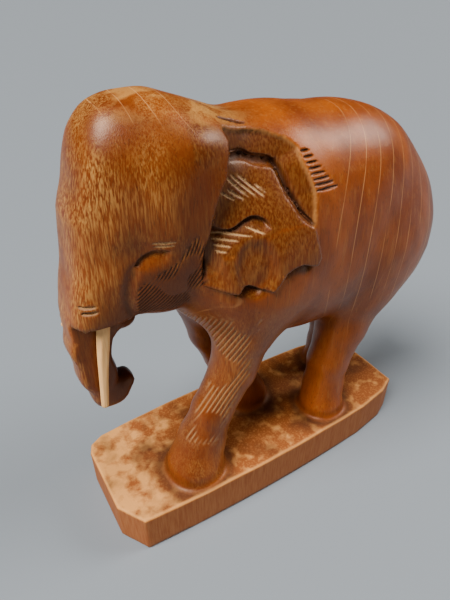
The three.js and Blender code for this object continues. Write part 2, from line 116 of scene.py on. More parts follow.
def path_distance(points: Array, path: Array) -> tuple[Array, Array, Array]:
    """Measures points against an open line of straight stretches.

    Args:
        points: Points of 2 or 3 coordinates.
        path: Corners of the line in order, in the same coordinates.

    Returns:
        Distance, share of the way along, and in the plane the signed distance
        that is positive on the left of the way (0 for points in space).
    """
    steps = path[1:] - path[:-1]
    lengths = np.maximum(np.linalg.norm(steps, axis=1), 1e-9)
    before = np.concatenate([[0], np.cumsum(lengths)])
    best = np.full(len(points), np.inf)
    along = np.zeros(len(points))
    signed = np.zeros(len(points))
    for start, step, length, passed in zip(path[:-1], steps, lengths, before):
        offset = points - start
        t = np.clip(offset @ step / length ** 2, 0, 1)
        gap = offset - t[:, None] * step
        distance = np.sqrt((gap * gap).sum(1))
        nearer = distance < best
        best = np.where(nearer, distance, best)
        along = np.where(nearer, (passed + t * length) / before[-1], along)
        if points.shape[1] == 2:
            side = step[0] * offset[:, 1] - step[1] * offset[:, 0]
            signed = np.where(nearer, np.sign(side) * distance, signed)
    return best, along, signed


def inside_outline(points: Array, outline: Array) -> Array:
    """Measures points in a plane against a closed outline.

    Args:
        points: Points of 2 coordinates.
        outline: Corners in order.

    Returns:
        Distance to the outline, positive inside it.
    """
    nearest = np.full(len(points), np.inf)
    inside = np.zeros(len(points), bool)
    for a, b in zip(outline, np.roll(outline, -1, axis=0)):
        edge = b - a
        length2 = float(edge @ edge)
        if length2 < 1e-9:
            continue
        offset = points - a
        t = np.clip(offset @ edge / length2, 0, 1)
        nearest = np.minimum(nearest, np.hypot(*(offset - t[:, None] * edge).T))
        crosses = (a[1] > points[:, 1]) != (b[1] > points[:, 1])
        rise = edge[1] if abs(edge[1]) > 1e-9 else 1e-9
        inside ^= crosses & (offset[:, 0] < edge[0] * offset[:, 1] / rise)
    return np.where(inside, nearest, -nearest)


def rounded_path(corners: Sequence[tuple[float, float]], per_stretch: int = 6) -> Array:
    """Draws a smooth line through corners.

    Args:
        corners: Points that the line passes.
        per_stretch: Points made for each stretch.

    Returns:
        Points along the line.
    """
    c = np.array(corners, float)
    ends = np.vstack([2 * c[0] - c[1], c, 2 * c[-1] - c[-2]])
    t = np.linspace(0, 1, per_stretch, endpoint=False)[:, None]
    made = []
    for p0, p1, p2, p3 in zip(ends, ends[1:], ends[2:], ends[3:]):
        made.append(0.5 * (2 * p1 + (p2 - p0) * t + (2 * p0 - 5 * p1 + 4 * p2 - p3) * t ** 2
                           + (3 * p1 - p0 - 3 * p2 + p3) * t ** 3))
    return np.vstack(made + [c[-1:]])


def wave_noise(points: Array, length: float, seed: float) -> Array:
    """Sums a few plane waves into a smooth unevenness that repeats nowhere near.

    Args:
        points: Points in space.
        length: Typical length of a wave, in the points' unit.
        seed: Shifts the pattern.

    Returns:
        Values from about -1 to 1.
    """
    total = np.zeros(len(points))
    for i in range(5):
        turn = seed * 1.7 + i * 2.399963
        tilt = math.sin(seed + i * 1.31)
        way = np.array([math.cos(turn), math.sin(turn), tilt]) / math.hypot(1, tilt)
        total += np.sin(points @ way * (2 * math.pi / length) * (0.75 + 0.17 * i) + seed * (i + 1) * 1.9)
    return total / 3.2


@dataclass(frozen=True)
class Bulk:
    """A rounded mass of the figure, in the figure's units."""

    at: tuple[float, float, float]
    half: tuple[float, float, float]
    squareness: float
    blend: float

    def distance(self, p: Array) -> Array:
        """Measures points against the mass.

        Args:
            p: Points in the figure's units.

        Returns:
            Distances, negative inside.
        """
        n = self.squareness
        half = np.array(self.half)
        q = np.maximum(np.abs(p - np.array(self.at)) / half, 1e-6)
        power = q ** (n - 1)
        reach = (power * q).sum(1) ** (1 / n)
        slope = reach[:, None] ** (1 - n) * power / half
        return (reach - 1) / np.sqrt((slope * slope).sum(1))


@dataclass(frozen=True)
class Limb:
    """A leg or the trunk: rounded sections that follow a line of stations.

    Each station is x, y, height, half depth fore and aft and half width across.
    """

    stations: tuple[tuple[float, float, float, float, float], ...]
    squareness: float
    blend: float
    joint: float = 1.5

    def distance(self, p: Array) -> Array:
        """Measures points against the limb.

        Args:
            p: Points in the figure's units.

        Returns:
            Distances, negative inside.
        """
        n = self.squareness
        total = None
        for a, b in zip(self.stations, self.stations[1:]):
            start, end = np.array(a), np.array(b)
            way = end[:3] - start[:3]
            t = np.clip((p - start[:3]) @ way / (way @ way), 0, 1)
            depth = start[3] + (end[3] - start[3]) * t
            width = start[4] + (end[4] - start[4]) * t
            gap = p - start[:3] - t[:, None] * way
            fore_aft = np.maximum(np.hypot(gap[:, 0], gap[:, 2]), 1e-6)
            across = np.maximum(np.abs(gap[:, 1]) * depth / width, 1e-6)
            reach = (fore_aft ** n + across ** n) ** (1 / n)
            distance = (reach - depth) * np.minimum(1, width / depth)
            total = distance if total is None else smooth_union(total, distance, self.joint)
        return total


BULKS: dict[str, Bulk] = {
    "torso": Bulk((-13.6, 0, 65.7), (35.7, 19.7, 29.8), 2.3, 0),
    "rump": Bulk((-37.2, 0, 57.1), (19.3, 17.6, 22.7), 2.3, 7.1),
    "shoulder": Bulk((6.8, 0, 70.7), (24.8, 18.6, 26.3), 2.2, 7.1),
    "crown": Bulk((24.1, 0, 82.5), (13.8, 15.2, 17.5), 2.6, 4.1),
    "brow": Bulk((32.2, 0, 80.1), (13.5, 12.2, 22.4), 2.6, 5.1),
    "jaw": Bulk((26.3, 0, 66.1), (13.4, 11.7, 11.3), 2.3, 5.1),
    "lip": Bulk((38.4, 0, 54), (3, 2.6, 2.6), 2.0, 2.0),
}
HEAD_FORMS = ("crown", "brow", "jaw", "lip", "trunk")

LIMBS: dict[str, Limb] = {
    "left_front_leg": Limb((
        (7.1, 10.3, 57.9, 12.3, 9.1), (10.2, 8.9, 45.7, 8, 7.6), (12.9, 8.4, 32.5, 6, 6),
        (19.4, 8.2, 20.3, 5.4, 5.4), (22.8, 7.6, 10.2, 6.4, 6.3), (25.6, 8.3, 2, 8.1, 7.9)), 2.3, 5.1),
    "right_front_leg": Limb((
        (11.2, -8.6, 57.9, 12.3, 9.1), (12.3, -8.6, 45.7, 8, 7.6), (10.3, -8.6, 32.5, 6, 6),
        (5.6, -8.6, 20.3, 5.5, 5.5), (0.8, -8.6, 10.2, 6.3, 6.2), (-2, -8.6, 2, 7.6, 7.6)), 2.3, 5.1),
    "left_hind_leg": Limb((
        (-33.5, 7.9, 57.9, 13.7, 10.2), (-30.5, 8.6, 43.7, 10.2, 8.1), (-27.1, 7.6, 30.5, 7.4, 7.3),
        (-23.3, 8.1, 18.3, 6.1, 6), (-22.8, 7.9, 8.1, 6, 6), (-21.8, 8.9, 2, 6.9, 6.9)), 2.3, 5.1),
    "right_hind_leg": Limb((
        (-37.6, -8.1, 57.9, 13.7, 10.2), (-38.6, -8.1, 43.7, 10.2, 8.1), (-38.6, -8.1, 30.5, 7.4, 7.3),
        (-38.2, -8.1, 18.3, 6.1, 6), (-37.6, -8.1, 8.1, 5.8, 5.7), (-38.1, -8.1, 2, 6.9, 6.9)), 2.3, 5.1),
    "trunk": Limb((
        (37.7, 0, 77.9, 10.2, 9.1), (42.7, 0, 64.5, 7.1, 8), (44.4, 0, 60.2, 6.2, 8.2),
        (45.7, 0, 57, 5.5, 7.4), (47.6, 0, 50.3, 4.3, 5.2), (46.8, 0, 41.5, 4.2, 4.4),
        (45.4, 0, 34.2, 3.5, 3.4), (43.2, 0, 33.6, 2.9, 3.1), (40.5, 0, 35.6, 2.4, 2.8)), 3.6, 3.6),
}

EAR_FRONT = ((16.8, 93.9), (18.1, 90.2), (18.8, 87.7), (20.4, 85.5), (22.3, 80.4), (22.8, 77.5),
             (24.1, 72.4), (24.1, 65.1))
EAR_TOP = ((16.8, 90.4), (12.8, 90), (10.3, 88.8), (7, 88.1), (5.6, 86.5), (4.8, 82.7),
           (3.6, 80.1), (2.4, 77.6), (0, 75))
EAR_REAR = ((0, 75), (-1.2, 70.5), (-2, 67.5), (-1, 65.6))
EAR_BOTTOM = ((3.7, 67.3), (6.1, 67), (7.6, 66.2), (9.1, 64.1), (10.5, 62.4), (13.6, 63.4),
              (15.8, 64.5), (18.8, 63.1))
EAR_ARRIS = ((17.4, 96), (14.5, 94.9), (7.6, 93.9), (3.6, 92.4), (1.7, 90.7), (1.4, 88.2),
             (0.2, 85), (-0.6, 82), (0, 75))
# Opposite corners of where the ear changes the surface, and of where it needs a finer mesh.
EAR_RELIEF_BOX = ((-6, 58), (29, 100))
EAR_MESH_BOX = ((-5, 60), (26, 98))


class Mark:
    """Something carved into the smooth figure's flanks, in mm."""

    def seen(self, p: Array) -> Array:
        """Turns points to the view in which the mark is measured, here with both flanks alike."""
        return np.stack([p[:, 0], np.abs(p[:, 1]), p[:, 2]], 1)

    def limits(self) -> tuple[Sequence[float], Sequence[float]]:
        """Gives two corners of that view that the mark lies between."""
        return (-math.inf,) * 3, (math.inf,) * 3

    def carved(self, c: Array) -> tuple[Array, Array]:
        """Gives depth and nearness at points of that view."""
        raise NotImplementedError

    def measure(self, p: Array, flank: Array) -> tuple[Array, Array]:
        """Gives the mark's depth and its nearness.

        Args:
            p: Points in mm.
            flank: True where the point lies on a flank.

        Returns:
            Depth in mm, negative for a rise, and a share that is 1 on the mark.
        """
        depth, near = np.zeros((2, len(p)))
        seen = self.seen(p)
        chosen = np.where(flank & in_box(seen, *self.limits()))[0]
        if len(chosen):
            depth[chosen], near[chosen] = self.carved(seen[chosen])
        return depth, near


@dataclass(frozen=True)
class Cut(Mark):
    """One narrow knife or gouge cut.

    Its path is seen square on from the side, or lies in space. One in space is
    followed in plan, from a little under the path to somewhat over it.
    """

    path: Array
    width: float = 0.9
    depth: float = 0.7
    pale: float = 0.0
    end_share: float = 0.15
    fringe: float = 1.2
    full_detail_width: float = 2.5
    margin: float = 2.0
    under: float = 1.0
    over: float = 6.0

    def seen(self, p: Array) -> Array:
        """Turns points to the path's coordinates."""
        return p[:, [0, 2]] if self.path.shape[1] == 2 else super().seen(p)

    def limits(self) -> tuple[Array, Array]:
        """Gives the box round the path.

        Returns:
            Its lowest and highest corners, in the path's coordinates.
        """
        room = self.width + self.margin
        low, high = self.path.min(0) - room, self.path.max(0) + room
        if len(low) == 3:
            low[2], high[2] = low[2] - self.under, high[2] + self.over
        return low, high

    def carved(self, c: Array) -> tuple[Array, Array]:
        """Gives a rounded groove that thins out at both ends.

        Args:
            c: Points in the path's coordinates.

        Returns:
            Depth in mm and nearness.
        """
        distance, along, _ = path_distance(c[:, :2], self.path[:, :2])
        taper = np.sqrt(np.clip(4 * along * (1 - along), 0, 1))
        taper = taper * (1 - self.end_share) + self.end_share
        half = self.width / 2 * (0.4 + 0.6 * taper)
        beside = smooth_step(self.width / 2 + self.fringe, self.width / 2, distance)
        return (self.depth * taper * np.clip(1 - (distance / half) ** 2, 0, 1),
                beside * min(1, self.full_detail_width / self.width))


@dataclass(frozen=True)
class Fold(Mark):
    """A line where the wood is left standing on one side and sunk on the other."""

    path: Array
    depth: float
    reach: float
    sharp: float = 0.5
    end_share: float = 0.12
    margin: float = 2.0

    def seen(self, p: Array) -> Array:
        """Turns points to the side view."""
        return p[:, [0, 2]]

    def limits(self) -> tuple[Array, Array]:
        """Gives the corners of the box round the path."""
        room = self.reach + self.margin
        return self.path.min(0) - room, self.path.max(0) + room

    def carved(self, c: Array) -> tuple[Array, Array]:
        """Gives a step at the path that fades on the side that is sunk.

        Args:
            c: Points in the side view.

        Returns:
            Depth in mm and nearness.
        """
        distance, along, signed = path_distance(c, self.path)
        ends = smooth_step(0.0, self.end_share, along) * smooth_step(1.0, 1 - self.end_share, along)
        fading = np.exp(-(distance / self.reach) ** 1.3 * 2.2)
        sunk = smooth_step(-self.sharp, self.sharp, signed) * fading
        faded = smooth_step(self.reach + self.margin, self.reach, distance)
        return self.depth * sunk * ends * faded, smooth_step(1.8, 0.6, distance)


@dataclass(frozen=True)
class Swell(Mark):
    """A soft rise or hollow of the surface round a point, alike on both flanks."""

    at: tuple[float, float, float]
    half: tuple[float, float, float]
    rise: float
    flatness: float = 2.0

    def carved(self, c: Array) -> tuple[Array, Array]:
        """Gives a smooth bump.

        Args:
            c: Points with both flanks alike.

        Returns:
            Depth in mm, negative for a rise, and nearness.
        """
        q = (c - np.array(self.at)) / np.array(self.half)
        share = np.exp(-((q * q).sum(1)) ** (self.flatness / 2))
        return -self.rise * share, 0.35 * smooth_step(0.05, 0.4, share)


class Patch(Enum):
    """The hatched patches of the left flank, by the corners in mm that they lie between."""

    CHEEK = ((44, 8, 139), (78, math.inf, 182))
    LEG = ((24, 6, 44), (66, math.inf, 142))


@dataclass(frozen=True)
class Hatching(Mark):
    """A patch of many knife strokes side by side on the left flank.

    The strokes of the cheek fan out round a centre. Those of the leg lie square
    to one way across and keep to the face of the leg that looks ahead and out.
    """

    patch: Patch
    spacing: float
    width: float
    depth: float
    cheek_outline: tuple[tuple[float, float], ...] = (
        (76, 150), (75.5, 158), (70, 163.5), (64, 166.5), (58.5, 170), (53, 179), (48, 180),
        (46, 166), (46.9, 147), (57.5, 141), (75, 143))
    fan_centre: tuple[float, float] = (111.6, 189.8)
    leg_across: tuple[float, float, float] = (0.607, -0.632, 0.481)
    leg_face: tuple[float, float] = (0.66, 0.75)
    leg_middle: float = 16.5
    unit: float = 1.9707
    base_top: float = 26.0

    def seen(self, p: Array) -> Array:
        """Leaves the points as they are, as the right flank has no patch."""
        return p

    def limits(self) -> tuple[Sequence[float], Sequence[float]]:
        """Gives the corners of the patch's box."""
        return self.patch.value

    def on_cheek(self, c: Array) -> tuple[Array, Array, Array]:
        """Lays out the cheek's fan of strokes.

        Args:
            c: Points in mm.

        Returns:
            The share in the patch, the way across the strokes and where they show.
        """
        inside = smooth_step(-0.6, 1.2, inside_outline(c[:, [0, 2]], np.array(self.cheek_outline)))
        across = np.hypot(c[:, 0] - self.fan_centre[0], c[:, 2] - self.fan_centre[1])
        return inside, across, smooth_step(-0.55, -0.1, wave_noise(c, 17.0, 3.0))

    def on_leg(self, c: Array) -> tuple[Array, Array, Array]:
        """Lays out the leg's level strokes.

        Args:
            c: Points in mm.

        Returns:
            The share in the patch, the way across the strokes and where they show.
        """
        stations = np.array(LIMBS["left_front_leg"].stations)[::-1] * self.unit
        middle, half = (np.interp(c[:, 2] - self.base_top, stations[:, 2], stations[:, i]) for i in (0, 4))
        ahead, out = self.leg_face
        side = ((c[:, 0] - middle) * ahead + (c[:, 1] - self.leg_middle) * out) / half
        inside = smooth_step(0.62, 0.8, side) * smooth_step(50, 56, c[:, 2]) * smooth_step(138, 130, c[:, 2])
        return inside, c @ np.array(self.leg_across), smooth_step(-0.25, 0.15, wave_noise(c, 23.0, 1.0))

    def carved(self, c: Array) -> tuple[Array, Array]:
        """Gives the strokes, a little uneven in their course.

        Args:
            c: Points in mm.

        Returns:
            Depth in mm and the share in the patch.
        """
        inside, across, gate = self.on_cheek(c) if self.patch is Patch.CHEEK else self.on_leg(c)
        across = across + 0.12 * self.spacing * wave_noise(c, 26.0, 4.0)
        offset = np.abs(across / self.spacing - np.round(across / self.spacing)) * self.spacing
        stroke = np.clip(1 - (offset / (self.width / 2)) ** 2, 0, 1)
        return self.depth * stroke * inside * gate, inside


@dataclass(frozen=True)
class MaskLimits:
    """Where each mask of the finish starts to show, and where it is full.

    Sizes are in mm, the base's heights are from its top, and what is named up or
    ahead is the share of the surface's outward direction that points there.
    """

    base_off_figure: tuple[float, float] = (1.5, 4.5)
    base_height: tuple[float, float] = (5, 2)
    base_up: tuple[float, float] = (0.55, 0.85)
    feet_dark_from: float = 13
    feet_dark_sway: float = 5
    feet_dark_full: float = 1.5
    rim_edge: tuple[float, float] = (-2.2, -0.6)
    rim_up: tuple[float, float] = (0.2, 0.6)
    rim_height: tuple[float, float] = (-3, -1)
    arris: tuple[float, float] = (1.0, 0.3)
    arris_across: tuple[float, float] = (12, 16)
    arris_share: float = 0.5
    leg_reach: tuple[float, float] = (8, 0)
    leg_height: tuple[float, float] = (150, 118)
    head_lead: tuple[float, float] = (8, -2)
    cheek_height: tuple[float, float] = (178, 160)
    cheek_front: tuple[float, float] = (80, 72)
    ear_edge: tuple[float, float] = (-0.3, 0.3)
    ear_across: tuple[float, float] = (8, 12)
    ear_surface: tuple[float, float] = (-0.5, 0.2)
    carved_depth: tuple[float, float] = (0.1, 0.5)
    crown_up: tuple[float, float] = (0.55, 0.95)
    crown_height: tuple[float, float] = (205, 222)
    front_ahead: tuple[float, float] = (-0.1, 0.75)
    ear_shade_height: tuple[float, float] = (140, 168)
    back_height: tuple[float, float] = (80, 120)


@dataclass
class ElephantCarving:
    """The elephant and the base it stands on, one block of hardwood.

    Sizes are in mm. Those of the nape, the ledge under the head, the tail, the
    sockets, the clear middle and the ear's arris, lift and tuck are in the
    figure's units, like the tables above. The edges are those of the mesh: ear,
    tail, rim and hatching have theirs as shares of the carved edge.
    """

    figure_height: float = 202.0
    figure_width: float = 83.0
    units_tall: float = 102.5
    units_wide: float = 42.1
    figure_shift: float = 0.07
    base_length: float = 200.0
    base_thickness: float = 26.0
    base_half_width: float = 37.4
    base_dish: float = 0.5
    base_dish_reach: float = 14.0
    base_unevenness: float = 0.28
    foot_fillet: float = 2.2
    rim_radius: float = 1.3
    recess_depth: float = 6.0
    ear_proud: float = 2.4
    arris_width: float = 5.6
    arris_depth_share: float = 0.15
    ear_lift: tuple[float, float] = (68, 88)
    ear_tuck: tuple[float, float] = (6, 0.5)
    ear_tuck_height: tuple[float, float] = (63, 72)
    ear_tuck_share: float = 0.75
    flap_top_share: float = 0.85
    middle_clear: tuple[float, float] = (3, 7)
    flank_from: float = 8.0
    unevenness: float = 0.12
    relief_reach: float = 14.0
    throat_radius: float = 1.2
    nape_radius_more: float = 3.9
    nape_height: tuple[float, float] = (66, 90)
    ledge_front: float = 37.0
    ledge_height: float = 58.6
    ledge_half_width: float = 4.1
    tail_top: float = 82.0
    tail_bottom: float = 41.0
    tail_half_width: float = 1.4
    tail_tuft: float = 2.2
    socket_at: tuple[float, float, float] = (44.7, 5.6, 57.8)
    grid_low: tuple[float, float, float] = (-114.0, -46.0, -4.0)
    grid_high: tuple[float, float, float] = (106.0, 46.0, 232.0)
    pitch: float = 2.2
    plain_edge: float = 2.3
    carved_edge: float = 0.5
    ear_edge: float = 2.3
    tail_edge: float = 1.3
    rim_edge: float = 1.6
    hatched_edge: float = 0.8
    quick_pitch: float = 1.5
    quick_edge: float = 1.6
    crevice_shade_reach: float = 3.0
    masks: MaskLimits = MaskLimits()
    unit: float = field(init=False)
    width_share: float = field(init=False)
    ear: Array = field(init=False)
    recess: Array = field(init=False)
    base_plan: Array = field(init=False)
    tail: Limb = field(init=False)
    marks: list[Mark] = field(init=False)

    def __post_init__(self) -> None:
        """Works out the unit, the outlines and the carver's marks."""
        self.unit = self.figure_height / self.units_tall
        self.width_share = self.figure_width / (self.units_wide * self.unit)
        self.ear = np.array(EAR_FRONT + EAR_BOTTOM[::-1] + EAR_REAR[::-1] + EAR_TOP[::-1])
        self.recess = np.array(EAR_ARRIS + EAR_TOP[::-1] + EAR_FRONT[:1])
        self.base_plan = self.base_outline()
        self.tail = self.make_tail()
        self.marks = [*self.make_cuts(), *self.make_folds(), *self.make_swells(),
                      Hatching(Patch.CHEEK, 1.45, 0.85, 0.42), Hatching(Patch.LEG, 2.2, 1.0, 0.42)]

    def base_outline(self) -> Array:
        """Draws the base's plan: bowed sides, blunt cut front and clipped rear.

        Returns:
            Corners in mm.
        """
        half = self.base_length / 2

        def bowed(share: float) -> float:
            """Gives the half width at a share of the length."""
            return self.base_half_width * (1 - 0.12 * share * share)

        def side_from(front_cut: float, front_share: float) -> list[tuple[float, float]]:
            """Lists one side's corners from the front.

            Args:
                front_cut: Where the front corner is cut, as a share of half the length.
                front_share: Half width of the blunt front, as a share of that at the cut.

            Returns:
                Corners in mm.
            """
            side = [(half, bowed(front_cut) * front_share)]
            for i in range(9):
                s = front_cut + (-0.65 - front_cut) * i / 8
                side.append((s * half, bowed(s)))
            return side + [(-0.875 * half, bowed(-0.65) * 0.9), (-half, bowed(-0.65) * 0.74)]

        left, right = side_from(0.905, 0.54), side_from(0.9, 0.7)
        right.insert(1, (0.975 * half, bowed(0.9) * 0.88))
        return np.array(left + [(x, -y) for x, y in reversed(right)])

    def make_cuts(self) -> list[Cut]:
        """Lays out the rows of knife cuts.

        Returns:
            The cuts of both flanks.
        """
        cuts = []

        def row(count: int, start: tuple[float, float], step: tuple[float, float],
                reach: tuple[float, float], growth: float = 1.0, **kind: float) -> None:
            """Adds a row of straight cuts.

            Args:
                count: How many.
                start: Where the first begins, in the side view in mm.
                step: From one beginning to the next.
                reach: From the first cut's beginning to its end.
                growth: How long each is against the last.
                **kind: The cuts' width, depth and paleness.
            """
            for i in range(count):
                a = np.array(start) + np.array(step) * i
                cuts.append(Cut(np.array([a, a + np.array(reach) * growth ** i]), **kind))

        row(8, (2.4, 203.3), (-0.55, -2.16), (-4.4, -0.05), 1.16, width=1.1, depth=0.95)
        row(3, (36.2, 198.7), (-3.2, -0.4), (-9.4, -9.5), 1.0, width=0.8, depth=0.6, pale=1.0)
        row(2, (39.6, 193.4), (-4.1, -0.3), (-7.2, -5.0), 0.95, width=0.75, depth=0.55, pale=1.0)
        row(1, (23.2, 193.4), (0, 0), (-3.8, -3.6), 1.0, width=0.7, depth=0.5, pale=0.8)
        row(4, (43.8, 176.9), (-0.35, -2.35), (-15.5, -2.3), 0.62, width=0.8, depth=0.5, pale=1.0)
        row(1, (30.0, 178.2), (0, 0), (-6.5, -3.1), 1.0, width=0.8, depth=0.5, pale=1.0)
        row(2, (68.3, 178.7), (-0.6, -1.5), (-8.4, -0.4), 0.85, width=0.8, depth=0.55, pale=1.0)
        row(2, (97.2, 153.2), (-0.4, -2.6), (-6.0, 0.3), 1.0, width=1.5, depth=1.1, pale=0.6)
        for i in range(3):
            start = np.array([33.7 - 2.2 * i, 15.4 - 0.3 * i, 217.9 - 1.3 * i])
            cuts.append(Cut(np.array([start, start + [-9.3, -1.5 + 0.6 * i, -2.3]]), 1.3, 1.0))
        crevice = rounded_path(self.side_view(EAR_TOP))
        cuts.append(Cut(crevice, 4.0, 2.4))
        cuts.append(Cut(crevice + [0.5, 2.2], 1.1, 0.7))
        cuts.append(Cut(rounded_path(self.side_view(EAR_FRONT)), 2.4, 1.3))
        root = rounded_path(((74.5, 170.0), (76.6, 164.6), (77.9, 158.8), (78.0, 151.0), (76.5, 144.0)))
        cuts.append(Cut(root, 6.5, 1.5))
        return cuts

    def make_swells(self) -> list[Swell]:
        """Lays out the eye, the brow and the hollow in the ear.

        Returns:
            The swells of both flanks.
        """
        return [Swell((71.0, 24.0, 173.5), (13.0, 12.0, 7.0), -1.5),
                Swell((67.2, 25.5, 167.3), (7.0, 9.0, 4.6), 0.6, 2.6),
                Swell((27.5, 34.0, 160.0), (8.6, 16.0, 12.0), -3.0, 6.0),
                Swell((45.5, 24.5, 211.5), (8.0, 6.0, 7.0), 1.6),
                Swell((86.0, 17.0, 160.0), (9.0, 9.0, 16.0), 1.2)]

    def make_tail(self) -> Limb:
        """Lays the tail down the rump in low relief.

        Returns:
            The tail, its stations found on the rump's rear at each height.
        """
        stations = []
        for i in range(11):
            share = i / 10
            z = self.tail_top + (self.tail_bottom - self.tail_top) * share
            y = -math.sin(math.pi * share)
            outside, inside = -90.0, -30.0
            for _ in range(24):
                x = (outside + inside) / 2
                if self.body_distance(np.array([[x, y, z]]))[0] > 0:
                    outside = x
                else:
                    inside = x
            grown = float(smooth_step(0, 0.2, share))
            tuft = float(smooth_step(0.72, 0.88, share) * smooth_step(1.06, 0.94, share))
            r = self.tail_half_width * (0.5 + 0.5 * grown) + (self.tail_tuft - self.tail_half_width) * tuft
            stations.append((outside + 0.35 * r, y, z, r, r))
        return Limb(tuple(stations), 2.0, 1.2, 0.0)

    def make_folds(self) -> list[Fold]:
        """Lays out the ear's folds and the eyelid.

        Returns:
            The folds of both flanks.
        """
        x = np.linspace(45.2, 20.0, 30)
        wave = np.stack([x, 180.0 - 2.1 * np.cos((x - 37.3) * 2 * math.pi / 21)
                         - 3.0 * smooth_step(22.5, 19.5, x)], 1)
        lid = rounded_path(((75.0, 168.3), (73.3, 171.6), (71.2, 173.4), (68.3, 174.8), (65.4, 175.1),
                            (61.5, 174.2)))
        first = rounded_path(((37.4, 149.0), (34.6, 152.6), (30.8, 153.2), (27.2, 151.4), (24.6, 149.3)))
        second = rounded_path(((16.5, 154.0), (13.2, 157.2), (9.4, 158.5), (5.0, 158.0), (-0.7, 154.7)))
        return [Fold(wave, 2.6, 10.0), Fold(lid, 1.7, 5.5), Fold(first, 1.5, 5.0), Fold(second, 1.5, 5.0)]

    def side_view(self, line: Sequence[tuple[float, float]]) -> list[tuple[float, float]]:
        """Turns a line of the side view from the figure's units into mm."""
        return [(x * self.unit, z * self.unit + self.base_thickness) for x, z in line]

    def socket(self, flank: Flank) -> tuple[float, float, float]:
        """Gives the place in mm where a tusk is let into the head."""
        x, y, z = self.socket_at
        return x * self.unit, flank.value * y * self.unit, self.base_thickness + z * self.unit

    def to_units(self, p: Array) -> Array:
        """Turns mm into the figure's own units, from the base's top."""
        return np.stack([(p[:, 0] - self.figure_shift) / self.unit,
                         p[:, 1] / self.unit / self.width_share,
                         (p[:, 2] - self.base_thickness) / self.unit], 1)

    def ear_relief(self, q: Array) -> Array:
        """Gives how deep the ear is cut under the smooth form.

        Args:
            q: Points in the figure's units.

        Returns:
            Depths in the figure's units, negative where the ear stands proud.
        """
        depth = np.zeros(len(q))
        flat = q[:, [0, 2]]
        chosen = np.where(in_box(flat, *EAR_RELIEF_BOX))[0]
        if not len(chosen):
            return depth
        flat = flat[chosen]
        deep, proud = self.recess_depth / self.unit, self.ear_proud / self.unit
        on_ear = inside_outline(flat, self.ear)
        in_recess = inside_outline(flat, self.recess)
        from_arris = np.minimum(path_distance(flat, np.array(EAR_ARRIS))[0] / self.arris_width, 1)
        sloped = self.arris_depth_share + (1 - self.arris_depth_share) * from_arris
        wall = deep * sloped * smooth_step(-0.25, 0.25, in_recess)
        lift = smooth_step(*self.ear_lift, flat[:, 1] + 0.35 * np.maximum(flat[:, 0] - 8, 0))
        beside_head = smooth_step(*self.ear_tuck, path_distance(flat, np.array(EAR_FRONT))[0])
        tuck = self.ear_tuck_share * beside_head * smooth_step(*self.ear_tuck_height, flat[:, 1])
        flap = -proud + (proud + deep * self.flap_top_share) * np.maximum(lift, tuck)
        share = smooth_step(-0.3, 0.3, on_ear)
        depth[chosen] = np.maximum(wall * (1 - share), 0) + flap * share
        return depth

    def base_distance(self, p: Array) -> Array:
        """Measures points against the base, with its eased and worn arris.

        Args:
            p: Points in mm.

        Returns:
            Distances in mm, negative inside.
        """
        r = self.rim_radius
        plan = -inside_outline(p[:, :2], self.base_plan)
        dish = self.base_dish * smooth_step(0, -self.base_dish_reach, plan)
        dish = dish + self.base_unevenness * wave_noise(p * [1, 1, 0], 31.0, 2.0)
        top = p[:, 2] - self.base_thickness + dish
        level = np.maximum(top, -p[:, 2])
        a, b = plan + r, level + r
        return np.minimum(np.maximum(a, b), 0) + np.hypot(np.maximum(a, 0), np.maximum(b, 0)) - r

    def joined(self, q: Array, head: bool) -> Array:
        """Joins the masses and limbs of the head or of the body.

        Args:
            q: Points in the figure's units.
            head: True for the head with its trunk, False for the body with its legs.

        Returns:
            Distances in the figure's units.
        """
        total = None
        for name, form in {**BULKS, **LIMBS}.items():
            if (name in HEAD_FORMS) == head:
                d = form.distance(q)
                total = d if total is None else smooth_union(total, d, form.blend)
        return total

    def body_distance(self, q: Array) -> Array:
        """Measures points in the figure's units against the body with its legs."""
        return self.joined(q, False)

    def head_distance(self, q: Array) -> Array:
        """Measures points in the figure's units against the head with its trunk.

        Args:
            q: Points in the figure's units.

        Returns:
            Distances in the figure's units.
        """
        beside = np.maximum(self.ledge_front - q[:, 0], q[:, 2] - self.ledge_height)
        beside = np.maximum(beside, self.ledge_half_width - np.abs(q[:, 1]))
        return np.maximum(self.joined(q, True), -beside)

    def smooth_figure(self, p: Array) -> Array:
        """Measures points against the figure before its marks are cut.

        Args:
            p: Points in mm.

        Returns:
            Distances in mm, negative inside.
        """
        q = self.to_units(p)
        radius = self.throat_radius + self.nape_radius_more * smooth_step(*self.nape_height, q[:, 2])
        total = smooth_union(self.body_distance(q), self.head_distance(q), radius)
        rear = (q[:, 0] < -30) & (np.abs(q[:, 1]) < 8)
        if rear.any():
            total[rear] = smooth_union(total[rear], self.tail.distance(q[rear]), self.tail.blend)
        return total * self.unit

    def distance(self, p: Array) -> Array:
        """Measures points against the finished carving.

        Args:
            p: Points in mm.

        Returns:
            Distances in mm, negative inside.
        """
        total = self.smooth_figure(p)
        close = np.abs(total) < self.relief_reach
        if close.any():
            total[close] += self.relief(p[close])
        total = total + self.unevenness * wave_noise(p, 13.0, 5.0)
        return smooth_union(total, self.base_distance(p), self.foot_fillet * 2)

    def relief(self, p: Array) -> Array:
        """Adds up all carving on the flanks.

        Args:
            p: Points in mm.

        Returns:
            Depths in mm.
        """
        across = np.abs(p[:, 1])
        weight = smooth_step(*(edge * self.unit for edge in self.middle_clear), across)
        depth = self.ear_relief(self.to_units(p)) * self.unit * weight
        for mark in self.marks:
            depth += mark.measure(p, across > self.flank_from)[0]
        return depth

